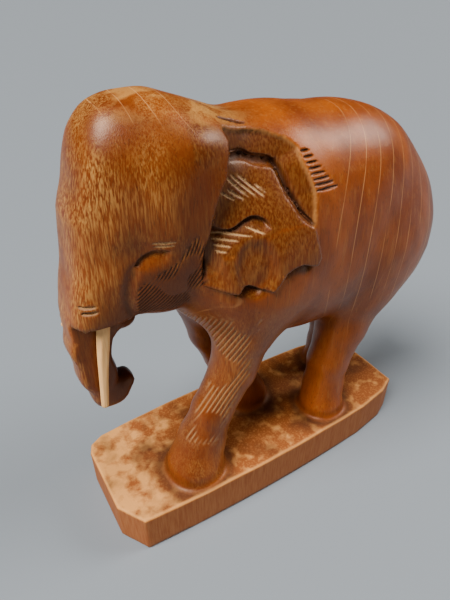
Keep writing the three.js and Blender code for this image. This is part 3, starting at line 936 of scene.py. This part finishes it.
    def wanted_edge(self, p: Array) -> Array:
        """Gives how long the mesh's edges may be.

        Args:
            p: Points in mm.

        Returns:
            Lengths in mm.
        """
        wanted = np.full(len(p), self.plain_edge)
        across = np.abs(p[:, 1])
        flank = across > self.flank_from
        for mark in self.marks:
            finest = self.carved_edge * (self.hatched_edge if isinstance(mark, Hatching) else 1)
            near = mark.measure(p, flank)[1]
            wanted = np.minimum(wanted, self.plain_edge + (finest - self.plain_edge) * near)
        flat = self.to_units(p)[:, [0, 2]]
        ear = flank & in_box(flat, *EAR_MESH_BOX)
        tail = in_box(flat, (-math.inf, self.tail_bottom - 4), (-35, self.tail_top + 3)) & (across < 8)
        edge = inside_outline(p[:, :2], self.base_plan)
        rim = (edge < 3.5) & (np.abs(p[:, 2] - self.base_thickness) < 3.5)
        for place, share in ((ear, self.ear_edge), (tail, self.tail_edge), (rim, self.rim_edge)):
            wanted[place] = np.minimum(wanted[place], share * self.carved_edge)
        return wanted

    def build(self) -> bpy.types.Object:
        """Makes the carving's mesh.

        Returns:
            The new object.
        """
        skin = Skin(self.distance)
        pitch = self.pitch * 1.0
        skin.lay(np.array(self.grid_low), np.array(self.grid_high), pitch)
        LOG.info("first skin: %d points", len(skin.points))
        skin.refine(self.wanted_edge, rounds=5)
        LOG.info("carved skin: %d points, %d faces", len(skin.points), len(skin.faces))
        made = make_object("carved_elephant", skin.points, skin.faces)
        self.paint(made, skin)
        return made

    def paint(self, made: bpy.types.Object, skin: "Skin") -> None:
        """Writes the masks that the finish reads.

        Args:
            made: The carving's object.
            skin: The skin it was made from.
        """
        p, normal = skin.points, skin.normals()
        x, z, up = p[:, 0], p[:, 2], normal[:, 2]
        across = np.abs(p[:, 1])
        flank = across > self.flank_from
        q, figure = self.to_units(p), self.smooth_figure(p)
        flat, above = q[:, [0, 2]], z - self.base_thickness
        # Painted shade: a point lies in a hollow where the room before it is less than the reach, and the
        # finish darkens it by how little room there is.
        hollow = np.clip(1 - self.distance(p + normal * self.crevice_shade_reach) / self.crevice_shade_reach, 0, 1)
        pale = np.zeros(len(p))
        for mark in self.marks:
            if isinstance(mark, Cut) and mark.pale:
                bare = np.clip(mark.measure(p, flank)[0] / mark.depth * 1.6, 0, 1)
                pale = np.maximum(pale, bare * mark.pale)
            elif isinstance(mark, Hatching):
                stroke = mark.measure(p, flank)[0] / mark.depth
                if mark.patch is Patch.CHEEK:
                    # The cheek's strokes are also darkened as painted shade in their grooves.
                    hollow = np.maximum(hollow, stroke * 0.9)
                else:
                    pale = np.maximum(pale, stroke * 0.5)
        # The base: its top, the darkening toward the feet and the worn arris.
        limit = self.masks
        plinth = smooth_step(*limit.base_off_figure, figure) * smooth_step(*limit.base_height, above)
        top = plinth * smooth_step(*limit.base_up, up)
        feet_dark_from = limit.feet_dark_from + limit.feet_dark_sway * wave_noise(p, 23.0, 8.0)
        contact = top * smooth_step(feet_dark_from, limit.feet_dark_full, figure)
        edge = -inside_outline(p[:, :2], self.base_plan)
        rim = smooth_step(*limit.rim_edge, edge) * smooth_step(*limit.rim_up, up)
        rim = rim * smooth_step(*limit.rim_height, above) * plinth
        # A pale line along the ear's arris: wear with a painted highlight.
        arris = smooth_step(*limit.arris, path_distance(flat, np.array(EAR_ARRIS))[0] * self.unit)
        rim = np.maximum(rim, arris * smooth_step(*limit.arris_across, across) * limit.arris_share)
        # The regions of the figure: left front leg, head, cheek and ear.
        leg = smooth_step(*limit.leg_reach, LIMBS["left_front_leg"].distance(q) * self.unit)
        leg = leg * smooth_step(*limit.leg_height, z)
        head = smooth_step(*limit.head_lead, self.head_distance(q) - self.body_distance(q))
        cheek = head * smooth_step(*limit.cheek_height, z) * smooth_step(*limit.cheek_front, x) * flank
        ear = np.maximum(inside_outline(flat, self.ear), inside_outline(flat, self.recess))
        ear = smooth_step(*limit.ear_edge, ear) * smooth_step(*limit.ear_across, across)
        ear = ear * smooth_step(*limit.ear_surface, figure)
        carved = np.abs(self.relief(p)) * (across > 12) * (z > 140) * (x < 50)
        ear = np.maximum(ear, smooth_step(*limit.carved_depth, carved))
        # Painted light and shade: the head's front and crown, which face the lamps, are painted golden
        # and its other faces darker; the cheek, the ear and the left front leg are painted darker too,
        # and the leg's gold is wear.
        crown = smooth_step(*limit.crown_up, up) * smooth_step(*limit.crown_height, z)
        facing_lamps = np.maximum(smooth_step(*limit.front_ahead, normal[:, 0]) * 0.9 + 0.1, crown)
        golden = np.clip(np.maximum(head * facing_lamps, leg * 0.35) * (1 - ear), 0, 1) * (1 - 0.8 * cheek)
        ear_shade = ear * (0.6 + 0.2 * smooth_step(*limit.ear_shade_height, z))
        shade = np.maximum.reduce([head * (1 - facing_lamps) * 0.75, cheek * 0.7, ear_shade, leg * 0.35])
        smooth = (1 - plinth) * (1 - head) * (1 - leg) * (1 - ear) * smooth_step(*limit.back_height, z)
        masks = {"hollow": hollow, "plinth": plinth, "top": top, "pale": pale, "golden": golden, "rim": rim,
                 "crown": crown * head, "contact": contact, "smooth": smooth, "ear": ear, "shade": shade}
        for name, values in masks.items():
            layer = made.data.attributes.new(name, "FLOAT", "POINT")
            layer.data.foreach_set("value", values.astype(np.float32))


class Skin:
    """A closed mesh laid on the zero of a distance field and drawn onto it."""

    longest = 1.45

    def __init__(self, distance: Callable[[Array], Array]) -> None:
        """Keeps the field.

        Args:
            distance: Gives the distance of points in mm.
        """
        self.distance = distance
        self.points = np.zeros((0, 3))
        self.faces = np.zeros((0, 3), int)

    def lay(self, low: Array, high: Array, pitch: float) -> None:
        """Lays the first, even skin over a grid.

        Args:
            low: The grid's lowest corner.
            high: Its highest corner.
            pitch: Its spacing.
        """
        counts = np.ceil((high - low) / pitch).astype(int) + 1
        axes = [low[i] + pitch * np.arange(counts[i]) for i in range(3)]
        values = np.empty(tuple(counts), np.float32)
        y, z = np.meshgrid(axes[1], axes[2], indexing="ij")
        for i, x in enumerate(axes[0]):
            sheet = np.stack([np.full(y.size, x), y.ravel(), z.ravel()], 1)
            values[i] = self.distance(sheet).reshape(y.shape)
        cells = tuple(counts - 1)
        total = np.zeros(cells + (3,))
        hits = np.zeros(cells, int)
        quads = []
        ids = np.arange(np.prod(cells)).reshape(cells)
        for axis in range(3):
            u, v = (axis + 1) % 3, (axis + 2) % 3
            a = np.moveaxis(values, (axis, u, v), (0, 1, 2))
            first, second = a[:-1], a[1:]
            crossing = (first < 0) != (second < 0)
            share = np.where(crossing, first / np.where(crossing, first - second, 1), 0)
            for du in (0, 1):
                for dv in (0, 1):
                    part = (slice(None), slice(du, du + cells[u]), slice(dv, dv + cells[v]))
                    seen = crossing[part]
                    local = np.zeros(seen.shape + (3,))
                    local[..., axis] = share[part]
                    local[..., u] = du
                    local[..., v] = dv
                    local *= seen[..., None]
                    np.moveaxis(total, (axis, u, v), (0, 1, 2))[...] += local
                    np.moveaxis(hits, (axis, u, v), (0, 1, 2))[...] += seen
            i, j, k = np.where(crossing[:, 1:-1, 1:-1])
            j, k = j + 1, k + 1
            turned = np.moveaxis(ids, (axis, u, v), (0, 1, 2))
            quad = np.stack([turned[i, j - 1, k - 1], turned[i, j, k - 1], turned[i, j, k],
                             turned[i, j - 1, k]], 1)
            flip = ~(first[i, j, k] < 0)
            quad[flip] = quad[flip][:, ::-1]
            quads.append(quad)
        quads = np.vstack(quads)
        used, renumbered = np.unique(quads, return_inverse=True)
        quads = renumbered.reshape(-1, 4)
        cell = np.stack(np.unravel_index(used, cells), 1)
        mean = total.reshape(-1, 3)[used] / np.maximum(hits.reshape(-1)[used], 1)[:, None]
        self.points = self.drawn(low + pitch * (cell + mean), 3, pitch)
        short = self.shorter(quads[:, [0, 2]], quads[:, [1, 3]])
        self.faces = np.vstack([np.where(short, quads[:, [0, 1, 2]], quads[:, [0, 1, 3]]),
                                np.where(short, quads[:, [0, 2, 3]], quads[:, [1, 2, 3]])])

    def shorter(self, first: Array, second: Array) -> Array:
        """Compares how far apart two points of the skin lie with two others.

        Args:
            first: Pairs of point numbers.
            second: As many others.

        Returns:
            A column, True where the first pair is no wider apart.
        """
        spans = [np.linalg.norm(self.points[pair[:, 0]] - self.points[pair[:, 1]], axis=1)
                 for pair in (first, second)]
        return (spans[0] <= spans[1])[:, None]

    def slope(self, p: Array, step: float = 0.05) -> Array:
        """Gives the field's slope by small steps to either side.

        Args:
            p: Points in mm.
            step: Half the span of the difference.

        Returns:
            Slopes along each axis.
        """
        made = np.empty_like(p)
        for axis in range(3):
            off = np.zeros(3)
            off[axis] = step
            made[:, axis] = (self.distance(p + off) - self.distance(p - off)) / (2 * step)
        return made

    def drawn(self, p: Array, rounds: int, most: float) -> Array:
        """Draws points onto the zero of the field.

        Args:
            p: Points in mm.
            rounds: How often.
            most: How far a point may go in a round.

        Returns:
            The moved points.
        """
        for _ in range(rounds):
            slope = self.slope(p)
            square = np.maximum((slope * slope).sum(1), 0.25)
            step = -self.distance(p)[:, None] * slope / square[:, None]
            length = np.linalg.norm(step, axis=1)
            p = p + step * np.minimum(1, most / np.maximum(length, 1e-9))[:, None]
        return p

    def refine(self, wanted: Callable[[Array], Array], rounds: int) -> None:
        """Splits edges that are longer than wanted, and draws the new points down.

        Args:
            wanted: Gives the length that edges may have at points.
            rounds: How often.
        """
        for _ in range(rounds):
            f = self.faces
            pairs = np.sort(np.vstack([f[:, [0, 1]], f[:, [1, 2]], f[:, [2, 0]]]), axis=1)
            edges, where = np.unique(pairs, axis=0, return_inverse=True)
            where = where.reshape(3, -1).T
            a, b = self.points[edges[:, 0]], self.points[edges[:, 1]]
            split = np.linalg.norm(a - b, axis=1) > self.longest * wanted((a + b) / 2)
            if not split.any():
                return
            number = np.full(len(edges), -1)
            number[split] = len(self.points) + np.arange(split.sum())
            fresh = self.drawn((a + b)[split] / 2, 2, 0.6)
            self.points = np.vstack([self.points, fresh])
            mid = number[where]
            marked = mid >= 0
            count = marked.sum(1)
            made = [f[count == 0]]

            def add(*corners: Array) -> None:
                """Adds faces by their three columns of corners."""
                made.append(np.stack(corners, 1))

            one = count == 1
            turn = np.argmax(marked[one], axis=1)
            g, m = self.turned(f[one], turn), self.turned(mid[one], turn)
            add(g[:, 0], m[:, 0], g[:, 2])
            add(m[:, 0], g[:, 1], g[:, 2])
            two = count == 2
            turn = (np.argmin(marked[two], axis=1) + 1) % 3
            g, m = self.turned(f[two], turn), self.turned(mid[two], turn)
            add(m[:, 0], g[:, 1], m[:, 1])
            short = self.shorter(np.stack([g[:, 0], m[:, 1]], 1), np.stack([m[:, 0], g[:, 2]], 1))[:, 0]
            add(g[:, 0], m[:, 0], np.where(short, m[:, 1], g[:, 2]))
            add(np.where(short, g[:, 0], m[:, 0]), m[:, 1], g[:, 2])
            g, m = f[count == 3], mid[count == 3]
            add(g[:, 0], m[:, 0], m[:, 2])
            add(m[:, 0], g[:, 1], m[:, 1])
            add(m[:, 2], m[:, 1], g[:, 2])
            self.faces = np.vstack([*made, m])

    @staticmethod
    def turned(rows: Array, turn: Array) -> Array:
        """Turns each row of three so that the entry at turn comes first."""
        return np.take_along_axis(rows, (turn[:, None] + np.arange(3)) % 3, axis=1)

    def normals(self) -> Array:
        """Gives the outward direction at each point."""
        slope = self.slope(self.points, 0.3)
        return slope / np.maximum(np.linalg.norm(slope, axis=1), 1e-9)[:, None]


def make_object(name: str, points: Array, faces: Array) -> bpy.types.Object:
    """Makes a smooth shaded object.

    Args:
        name: Its name.
        points: Its points in mm.
        faces: Its faces as rows of point numbers.

    Returns:
        The object, linked to the scene.
    """
    mesh = bpy.data.meshes.new(name)
    mesh.from_pydata((points * MM).tolist(), [], faces.tolist())
    mesh.validate()
    mesh.update()
    mesh.shade_smooth()
    made = bpy.data.objects.new(name, mesh)
    bpy.context.scene.collection.objects.link(made)
    return made


@dataclass
class TuskPeg:
    """A whittled peg glued into a hole beside the trunk."""

    name: str
    root: tuple[float, float, float]
    toward: tuple[float, float, float]
    length: float
    diameter: float = 5.8
    tip_diameter: float = 3.2
    seat: float = 9.0
    facets: int = 7
    turn: float = 0.3
    rounding: float = 1.2
    tip_rings: tuple[float, ...] = (0.8, 0.45, 0.2, 0.05, 0.0)
    bow: float = 0.008
    rings_along: int = 44
    points_round: int = 56

    def build(self) -> bpy.types.Object:
        """Makes the peg's mesh, faceted along its length as a knife leaves it.

        Returns:
            The new object.
        """
        way = np.array(self.toward) / np.linalg.norm(self.toward)
        side = np.cross(way, [0.0, 1.0, 0.0])
        side /= np.linalg.norm(side)
        other = np.cross(way, side)
        around = np.linspace(0, 2 * math.pi, self.points_round, endpoint=False)
        rings = []
        stations = np.concatenate([np.linspace(-self.seat, self.length - self.rounding, self.rings_along),
                                   self.length - np.array(self.tip_rings)])
        for s in stations:
            share = np.clip(s / self.length, 0, 1)
            radius = (self.diameter + (self.tip_diameter - self.diameter) * share ** 1.4) / 2
            from_tip = min((self.length - s) / self.rounding, 1)
            radius *= math.sqrt(np.clip(1 - (1 - from_tip) ** 2, 0.03, 1))
            reach = np.full(len(around), np.inf)
            for k in range(self.facets):
                middle = self.turn + 2 * math.pi * k / self.facets + 0.16 * math.sin(s * 0.09 + k * 2.1)
                flat = radius * (0.95 + 0.05 * math.sin(s * 0.17 + k * 1.7))
                near = np.maximum(np.cos(around - middle), 0.2)
                reach = np.minimum(reach, flat / near)
            reach = np.minimum(reach, radius * 1.03)
            bend = self.length * self.bow * math.sin(math.pi * share)
            centre = np.array(self.root) + way * s + side * bend
            rings.append(centre + np.outer(np.cos(around) * reach, side)
                         + np.outer(np.sin(around) * reach, other))
        points = np.vstack(rings + [rings[0].mean(0)[None], rings[-1].mean(0)[None]])
        n, last = len(around), len(stations) - 1
        start, end = len(points) - 2, len(points) - 1
        faces = []
        for i in range(n):
            j = (i + 1) % n
            for r in range(0, last * n, n):
                faces += [(r + i, r + j, r + n + j), (r + i, r + n + j, r + n + i)]
            faces += [(start, j, i), (end, last * n + i, last * n + j)]
        return make_object(self.name, points, np.array(faces))


def add_node(tree: bpy.types.NodeTree, kind: str, inputs: dict | None = None,
             **settings: object) -> bpy.types.Node:
    """Adds a node with its settings, values and links.

    Args:
        tree: The material's nodes.
        kind: The node's type, without its common prefix.
        inputs: Values or sockets for its inputs, by name or number.
        **settings: Its own properties.

    Returns:
        The node.
    """
    made = tree.nodes.new("ShaderNode" + kind)
    for name, value in settings.items():
        setattr(made, name, value)
    for place, value in (inputs or {}).items():
        if isinstance(value, bpy.types.NodeSocket):
            tree.links.new(value, made.inputs[place])
        else:
            made.inputs[place].default_value = value
    return made


def blank_material(name: str) -> tuple[bpy.types.Material, bpy.types.NodeTree]:
    """Makes an empty node material.

    Args:
        name: Its name.

    Returns:
        The material and its nodes.
    """
    material = bpy.data.materials.new(name)
    material.use_nodes = True
    material.node_tree.nodes.clear()
    return material, material.node_tree


@dataclass(frozen=True)
class Grain:
    """A pattern of noise stretched along the block's grain, which runs upright.

    Width and length are its typical sizes in mm. It starts to show where the
    noise passes low, shows whole at high, and then covers share of what is
    under it. Shift moves the pattern, and twist curls it.
    """

    width: float
    length: float
    detail: float
    shift: float
    low: float = 0.0
    high: float = 1.0
    share: float = 1.0
    twist: float = 0.0


@dataclass(frozen=True)
class LacqueredTeak:
    """Teak, carved, sanded and brushed with a thin satin lacquer.

    The eye gets a warm orange brown with darker pores along the grain, thin
    pale growth rings on the back, and a broad soft shine. Painted shade darkens
    crevices, the head's sides, the cheek and the ear, and painted light turns the
    head's front and crown golden.
    """

    deep: str = "#763002"
    warm: str = "#9a4806"
    golden: str = "#d4974a"
    dark: str = "#2a0d02"
    bare: str = "#e0ae74"
    ring: str = "#e8a765"
    # Painted shade colour for the head's sides, the cheek, the ear and the leg.
    painted_shade_brown: str = "#521f02"
    base_pale: str = "#e09b52"
    base_brown: str = "#8a4719"
    base_side: str = "#9a5c2e"
    stain: str = "#431f0c"
    reflection: str = "#ffdcc0"
    roughness: float = 0.36
    dull_more: float = 0.3
    clouds: Grain = Grain(22, 70, 3, 3.1, 0.38, 0.62)
    streaks: Grain = Grain(1.6, 26, 3, 1.7, 0.52, 0.8, 0.16)
    ear_streaks: Grain = Grain(0.7, 30, 3, 3.9, 0.4, 0.75, 0.2)
    flames: Grain = Grain(0.6, 7.5, 3, 7.7, 0.42, 0.64, 0.62, 0.35)
    flame_patches: Grain = Grain(16, 30, 3, 4.2, 0.3, 0.6)
    crown_clouds: Grain = Grain(11, 11, 4, 2.9, 0.46, 0.6, 0.5, 0.8)
    pores: Grain = Grain(0.45, 4.5, 2, 5.3, 0.57, 0.68, 0.4)
    saw_marks: Grain = Grain(0.9, 12, 3, 2.2, 0.35, 0.65)
    saw_relief: Grain = Grain(2.5, 5, 4, 0.9, share=2.5)
    base_wear: Grain = Grain(7, 7, 7, 9.9, 0.52, 0.74, 0.85, 0.2)
    base_specks: Grain = Grain(1.2, 1.2, 4, 5.5, 0.5, 0.7, 0.3)
    base_stains: Grain = Grain(20, 20, 6, 1.4, 0.5, 0.7, 0.8)
    ring_sway: Grain = Grain(60, 160, 1, 6.1, share=1.6)
    ring_breaks: Grain = Grain(14, 30, 2, 8.8, 0.36, 0.5)
    ring_spacing: float = 8.0
    ring_centre: tuple[float, float] = (0.0085, 0.005)
    ring_edges: tuple[float, float] = (0.03, 0.01)
    rings_from: tuple[float, float] = (0.032, 0.045)
    ring_share: float = 0.45

    def material(self) -> bpy.types.Material:
        """Builds the finish.

        Returns:
            The material.
        """
        made, tree = blank_material("lacquered_teak")

        def add(kind: str, inputs: dict | None = None, **settings: object) -> bpy.types.Node:
            """Adds a node to this finish."""
            return add_node(tree, kind, inputs, **settings)

        place = add("TexCoord").outputs["Object"]

        def noise(grain: Grain) -> bpy.types.NodeSocket:
            """Lays a pattern's noise along the grain.

            Args:
                grain: The pattern.

            Returns:
                Values round 0.5.
            """
            across, along = 1000 / grain.width, 1000 / grain.length
            moved = add("Mapping", {"Vector": place, "Scale": (across, across, along), "Location":
                                    (grain.shift, grain.shift * 0.7, grain.shift * 0.3)}).outputs[0]
            return add("TexNoise", {"Vector": moved, "Scale": 1.0, "Detail": grain.detail,
                                    "Distortion": grain.twist}).outputs["Fac"]

        def span(value: bpy.types.NodeSocket, low: float, high: float) -> bpy.types.NodeSocket:
            """Spreads a value so that low gives 0 and high gives 1."""
            return add("MapRange", {"Value": value, "From Min": low, "From Max": high}).outputs[0]

        def mix(share: bpy.types.NodeSocket, first: object, second: object) -> bpy.types.NodeSocket:
            """Mixes two colours.

            Args:
                share: How much there is of the second.
                first: A hex colour or the colour so far.
                second: Another.

            Returns:
                The mixed colour.
            """
            made_mix = add("Mix", {"Factor": share}, data_type="RGBA")
            for index, colour in ((6, first), (7, second)):
                if isinstance(colour, str):
                    made_mix.inputs[index].default_value = linear_colour(colour)
                else:
                    tree.links.new(colour, made_mix.inputs[index])
            return made_mix.outputs[2]

        def maths(operation: str, first: object, second: object = 0.0) -> bpy.types.NodeSocket:
            """Works out one sum."""
            return add("Math", {0: first, 1: second}, operation=operation).outputs[0]

        def times(*values: object) -> bpy.types.NodeSocket:
            """Multiplies values.

            Args:
                *values: Sockets, or numbers after the first.

            Returns:
                Their product.
            """
            total = values[0]
            for value in values[1:]:
                total = maths("MULTIPLY", total, value)
            return total

        def shown(grain: Grain, *masks: object, value: object = None) -> bpy.types.NodeSocket:
            """Gives how far a pattern, or this value in its place, covers what is under it."""
            spread = span(noise(grain) if value is None else value, grain.low, grain.high)
            return times(spread, *masks, grain.share)

        def mask(name: str) -> bpy.types.NodeSocket:
            """Reads one of the carving's masks."""
            return add("Attribute", attribute_name=name).outputs["Fac"]

        # Body wood: close to one colour, with broad soft clouds and short pores.
        colour = mix(shown(self.clouds), self.deep, self.warm)
        colour = mix(shown(self.streaks), colour, self.golden)
        # Painted shade: the head's sides, the cheek, the ear and the leg, and a little the golden parts, are
        # darkened toward a shade brown.
        colour = mix(maths("MAXIMUM", times(mask("golden"), 0.4), mask("shade")), colour, self.painted_shade_brown)
        colour = mix(shown(self.ear_streaks, mask("ear")), colour, self.golden)
        # Flame figure: short golden dashes, laid where the golden mask paints light on the head's front
        # and crown and wear on the leg.
        colour = mix(shown(self.flames, shown(self.flame_patches), mask("golden")), colour, self.golden)
        # Painted light: golden clouds on the head's top, which faces the lamps.
        colour = mix(shown(self.crown_clouds, mask("crown")), colour, self.golden)
        pores = noise(self.pores)
        colour = mix(shown(self.pores, value=pores), colour, self.dark)
        # Growth layers: upright sheets round the heart of the trunk, seen as pale hairlines.
        moved = add("VectorMath", {0: place, 1: (*self.ring_centre, 0.0)}, operation="SUBTRACT").outputs[0]
        flat = add("VectorMath", {0: moved, 1: (1, 1, 0)}, operation="MULTIPLY").outputs[0]
        reach = add("VectorMath", {0: flat}, operation="LENGTH").outputs["Value"]
        swayed = maths("ADD", times(reach, 1000 / self.ring_spacing),
                       times(noise(self.ring_sway), self.ring_sway.share))
        hairline = times(span(maths("PINGPONG", swayed, 0.5), *self.ring_edges), shown(self.ring_breaks),
                         span(reach, *self.rings_from), maths("MAXIMUM", mask("smooth"), mask("crown")))
        colour = mix(times(hairline, self.ring_share), colour, self.ring)
        # Base: rough sawn sides, a top stained brown where varnish pooled and tan where it is worn.
        colour = mix(mask("plinth"), colour, mix(shown(self.saw_marks), self.base_brown, self.base_side))
        front_end = span(add("SeparateXYZ", {0: place}).outputs[0], 0.045, 0.1)
        worn = maths("ADD", noise(self.base_wear), times(front_end, 0.24))
        top = mix(shown(self.base_wear, value=worn), self.base_brown, self.base_pale)
        top = mix(shown(self.base_specks), top, self.base_pale)
        top = mix(shown(self.base_stains), top, self.stain)
        colour = mix(mask("top"), colour, top)
        # Painted shade darkens the hollows and cheek strokes, the base's top is darker round the feet, rim
        # paints pale wear on the base's arris and a painted highlight on the ear's arris, and pale lightens
        # the bare cuts.
        for name, share, tint in (("contact", 0.8, self.stain), ("rim", 0.6, self.base_pale),
                                  ("hollow", 0.85, self.dark), ("pale", 0.8, self.bare)):
            colour = mix(times(mask(name), share), colour, tint)
        height = maths("ADD", pores, times(noise(self.saw_relief), mask("plinth"), self.saw_relief.share))
        uneven = add("Bump", {"Height": height, "Distance": 0.0002, "Strength": 0.3}).outputs[0]
        dull = times(maths("MAXIMUM", mask("plinth"), mask("hollow")), self.dull_more)
        shader = add("BsdfPrincipled", {
            "Base Color": colour, "Normal": uneven, "Roughness": maths("ADD", dull, self.roughness),
            "IOR": 1.5, "Specular Tint": linear_colour(self.reflection)})
        add("OutputMaterial", {"Surface": shader.outputs[0]})
        return made


@dataclass(frozen=True)
class BareWillow:
    """A pale softwood peg, whittled with a knife and left unfinished."""

    straw: str = "#ffce88"
    shade: str = "#eca257"
    roughness: float = 0.6
    fibre_width: float = 5 / 9
    fibre_length: float = 100 / 7

    def material(self) -> bpy.types.Material:
        """Builds the finish.

        Returns:
            The material.
        """
        made, tree = blank_material("bare_pale_wood")
        place = add_node(tree, "TexCoord").outputs["Object"]
        across, along = 1000 / self.fibre_width, 1000 / self.fibre_length
        scaled = add_node(tree, "Mapping", {"Vector": place, "Scale": (across, across, along)}).outputs[0]
        fibres = add_node(tree, "TexNoise", {"Vector": scaled, "Scale": 1.0, "Detail": 3.0}).outputs["Fac"]
        colour = add_node(tree, "Mix", {"Factor": fibres, 6: linear_colour(self.straw),
                                        7: linear_colour(self.shade)}, data_type="RGBA")
        bump = add_node(tree, "Bump", {"Height": fibres, "Distance": 0.0001, "Strength": 0.4})
        shader = add_node(tree, "BsdfPrincipled", {
            "Base Color": colour.outputs[2], "Normal": bump.outputs[0], "Roughness": self.roughness,
            "IOR": 1.5})
        add_node(tree, "OutputMaterial", {"Surface": shader.outputs[0]})
        return made


@dataclass(frozen=True)
class Lamp:
    """A soft lamp that is far away.

    Toward is the way to it, spread how wide it looks in degrees, and power its
    strength in watts a square metre.
    """

    name: str
    toward: tuple[float, float, float]
    spread: float
    power: float

    def build(self) -> None:
        """Adds the lamp to the scene."""
        data = bpy.data.lights.new(self.name, "SUN")
        data.angle, data.energy = math.radians(self.spread), self.power
        lamp = bpy.data.objects.new(self.name, data)
        lamp.location = self.toward
        lamp.rotation_mode = "QUATERNION"
        lamp.rotation_quaternion = (-Vector(self.toward)).to_track_quat("-Z", "Y")
        bpy.context.scene.collection.objects.link(lamp)


@dataclass
class Studio:
    """The plain pale floor, the soft lights and the camera."""

    focal_length: float = 29.1
    sensor: float = 36.0
    camera_at: tuple[float, float, float] = (131.01, 176.63, 264.26)
    looks_back: tuple[float, float, float] = (0.43759, 0.69861, 0.56609)
    lamps: tuple[Lamp, ...] = (Lamp("front_overhead", (0.56, 0.1, 0.82), 34, 6.6),
                               Lamp("rear_window", (-0.76, 0.24, 0.6), 26, 2.3))
    sky: str = "#dfe3e6"
    sky_strength: float = 0.05
    floor_colour: str = "#7f8488"
    floor_reach: float = 14.0

    def build(self) -> None:
        """Makes floor, light and camera."""
        self.add_camera()
        self.add_floor()
        for lamp in self.lamps:
            lamp.build()
        world = bpy.data.worlds.new("studio")
        world.use_nodes = True
        background = world.node_tree.nodes["Background"]
        background.inputs[0].default_value = linear_colour(self.sky)
        background.inputs[1].default_value = self.sky_strength
        bpy.context.scene.world = world

    def add_camera(self) -> None:
        """Places the camera where the photograph was taken from."""
        data = bpy.data.cameras.new("camera")
        data.lens, data.sensor_width = self.focal_length, self.sensor
        camera = bpy.data.objects.new("camera", data)
        camera.location = Vector(self.camera_at) * MM
        camera.rotation_mode = "QUATERNION"
        camera.rotation_quaternion = (-Vector(self.looks_back)).to_track_quat("-Z", "Y")
        data.clip_start = 0.01
        bpy.context.scene.collection.objects.link(camera)
        bpy.context.scene.camera = camera

    def add_floor(self) -> None:
        """Lays the floor under the base."""
        reach = self.floor_reach
        mesh = bpy.data.meshes.new("floor")
        mesh.from_pydata([(-reach, -reach, 0), (reach, -reach, 0), (reach, reach, 0), (-reach, reach, 0)],
                         [], [(0, 1, 2, 3)])
        floor = bpy.data.objects.new("floor", mesh)
        bpy.context.scene.collection.objects.link(floor)
        material, tree = blank_material("pale_floor")
        shader = add_node(tree, "BsdfPrincipled",
                          {"Base Color": linear_colour(self.floor_colour), "Roughness": 0.6})
        add_node(tree, "OutputMaterial", {"Surface": shader.outputs[0]})
        mesh.materials.append(material)


def main() -> None:
    """Builds the carving, its tusks and the studio."""
    logging.basicConfig(level=logging.INFO, format="%(message)s")
    Studio().build()
    carving = ElephantCarving()
    figure = carving.build()
    figure.data.materials.append(LacqueredTeak().material())
    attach(figure, "root")
    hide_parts("elephant_on_base")
    LOG.info("%s: %d faces", figure.name, len(figure.data.polygons))
    wood = BareWillow().material()
    tusks = {
        "left_tusk": TuskPeg("whittled_left_tusk", carving.socket(Flank.LEFT), (0.123, 0, -0.99), 47.0),
        "right_tusk": TuskPeg("whittled_right_tusk", carving.socket(Flank.RIGHT), (0.68, -0.2, -0.72), 18.0,
                              tip_diameter=2.4, turn=1.1),
    }
    for node, tusk in tusks.items():
        made = tusk.build()
        made.data.materials.append(wood)
        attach(made, "root")
        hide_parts(node)
        LOG.info("%s: %d faces", made.name, len(made.data.polygons))


if __name__ == "__main__":
    main()
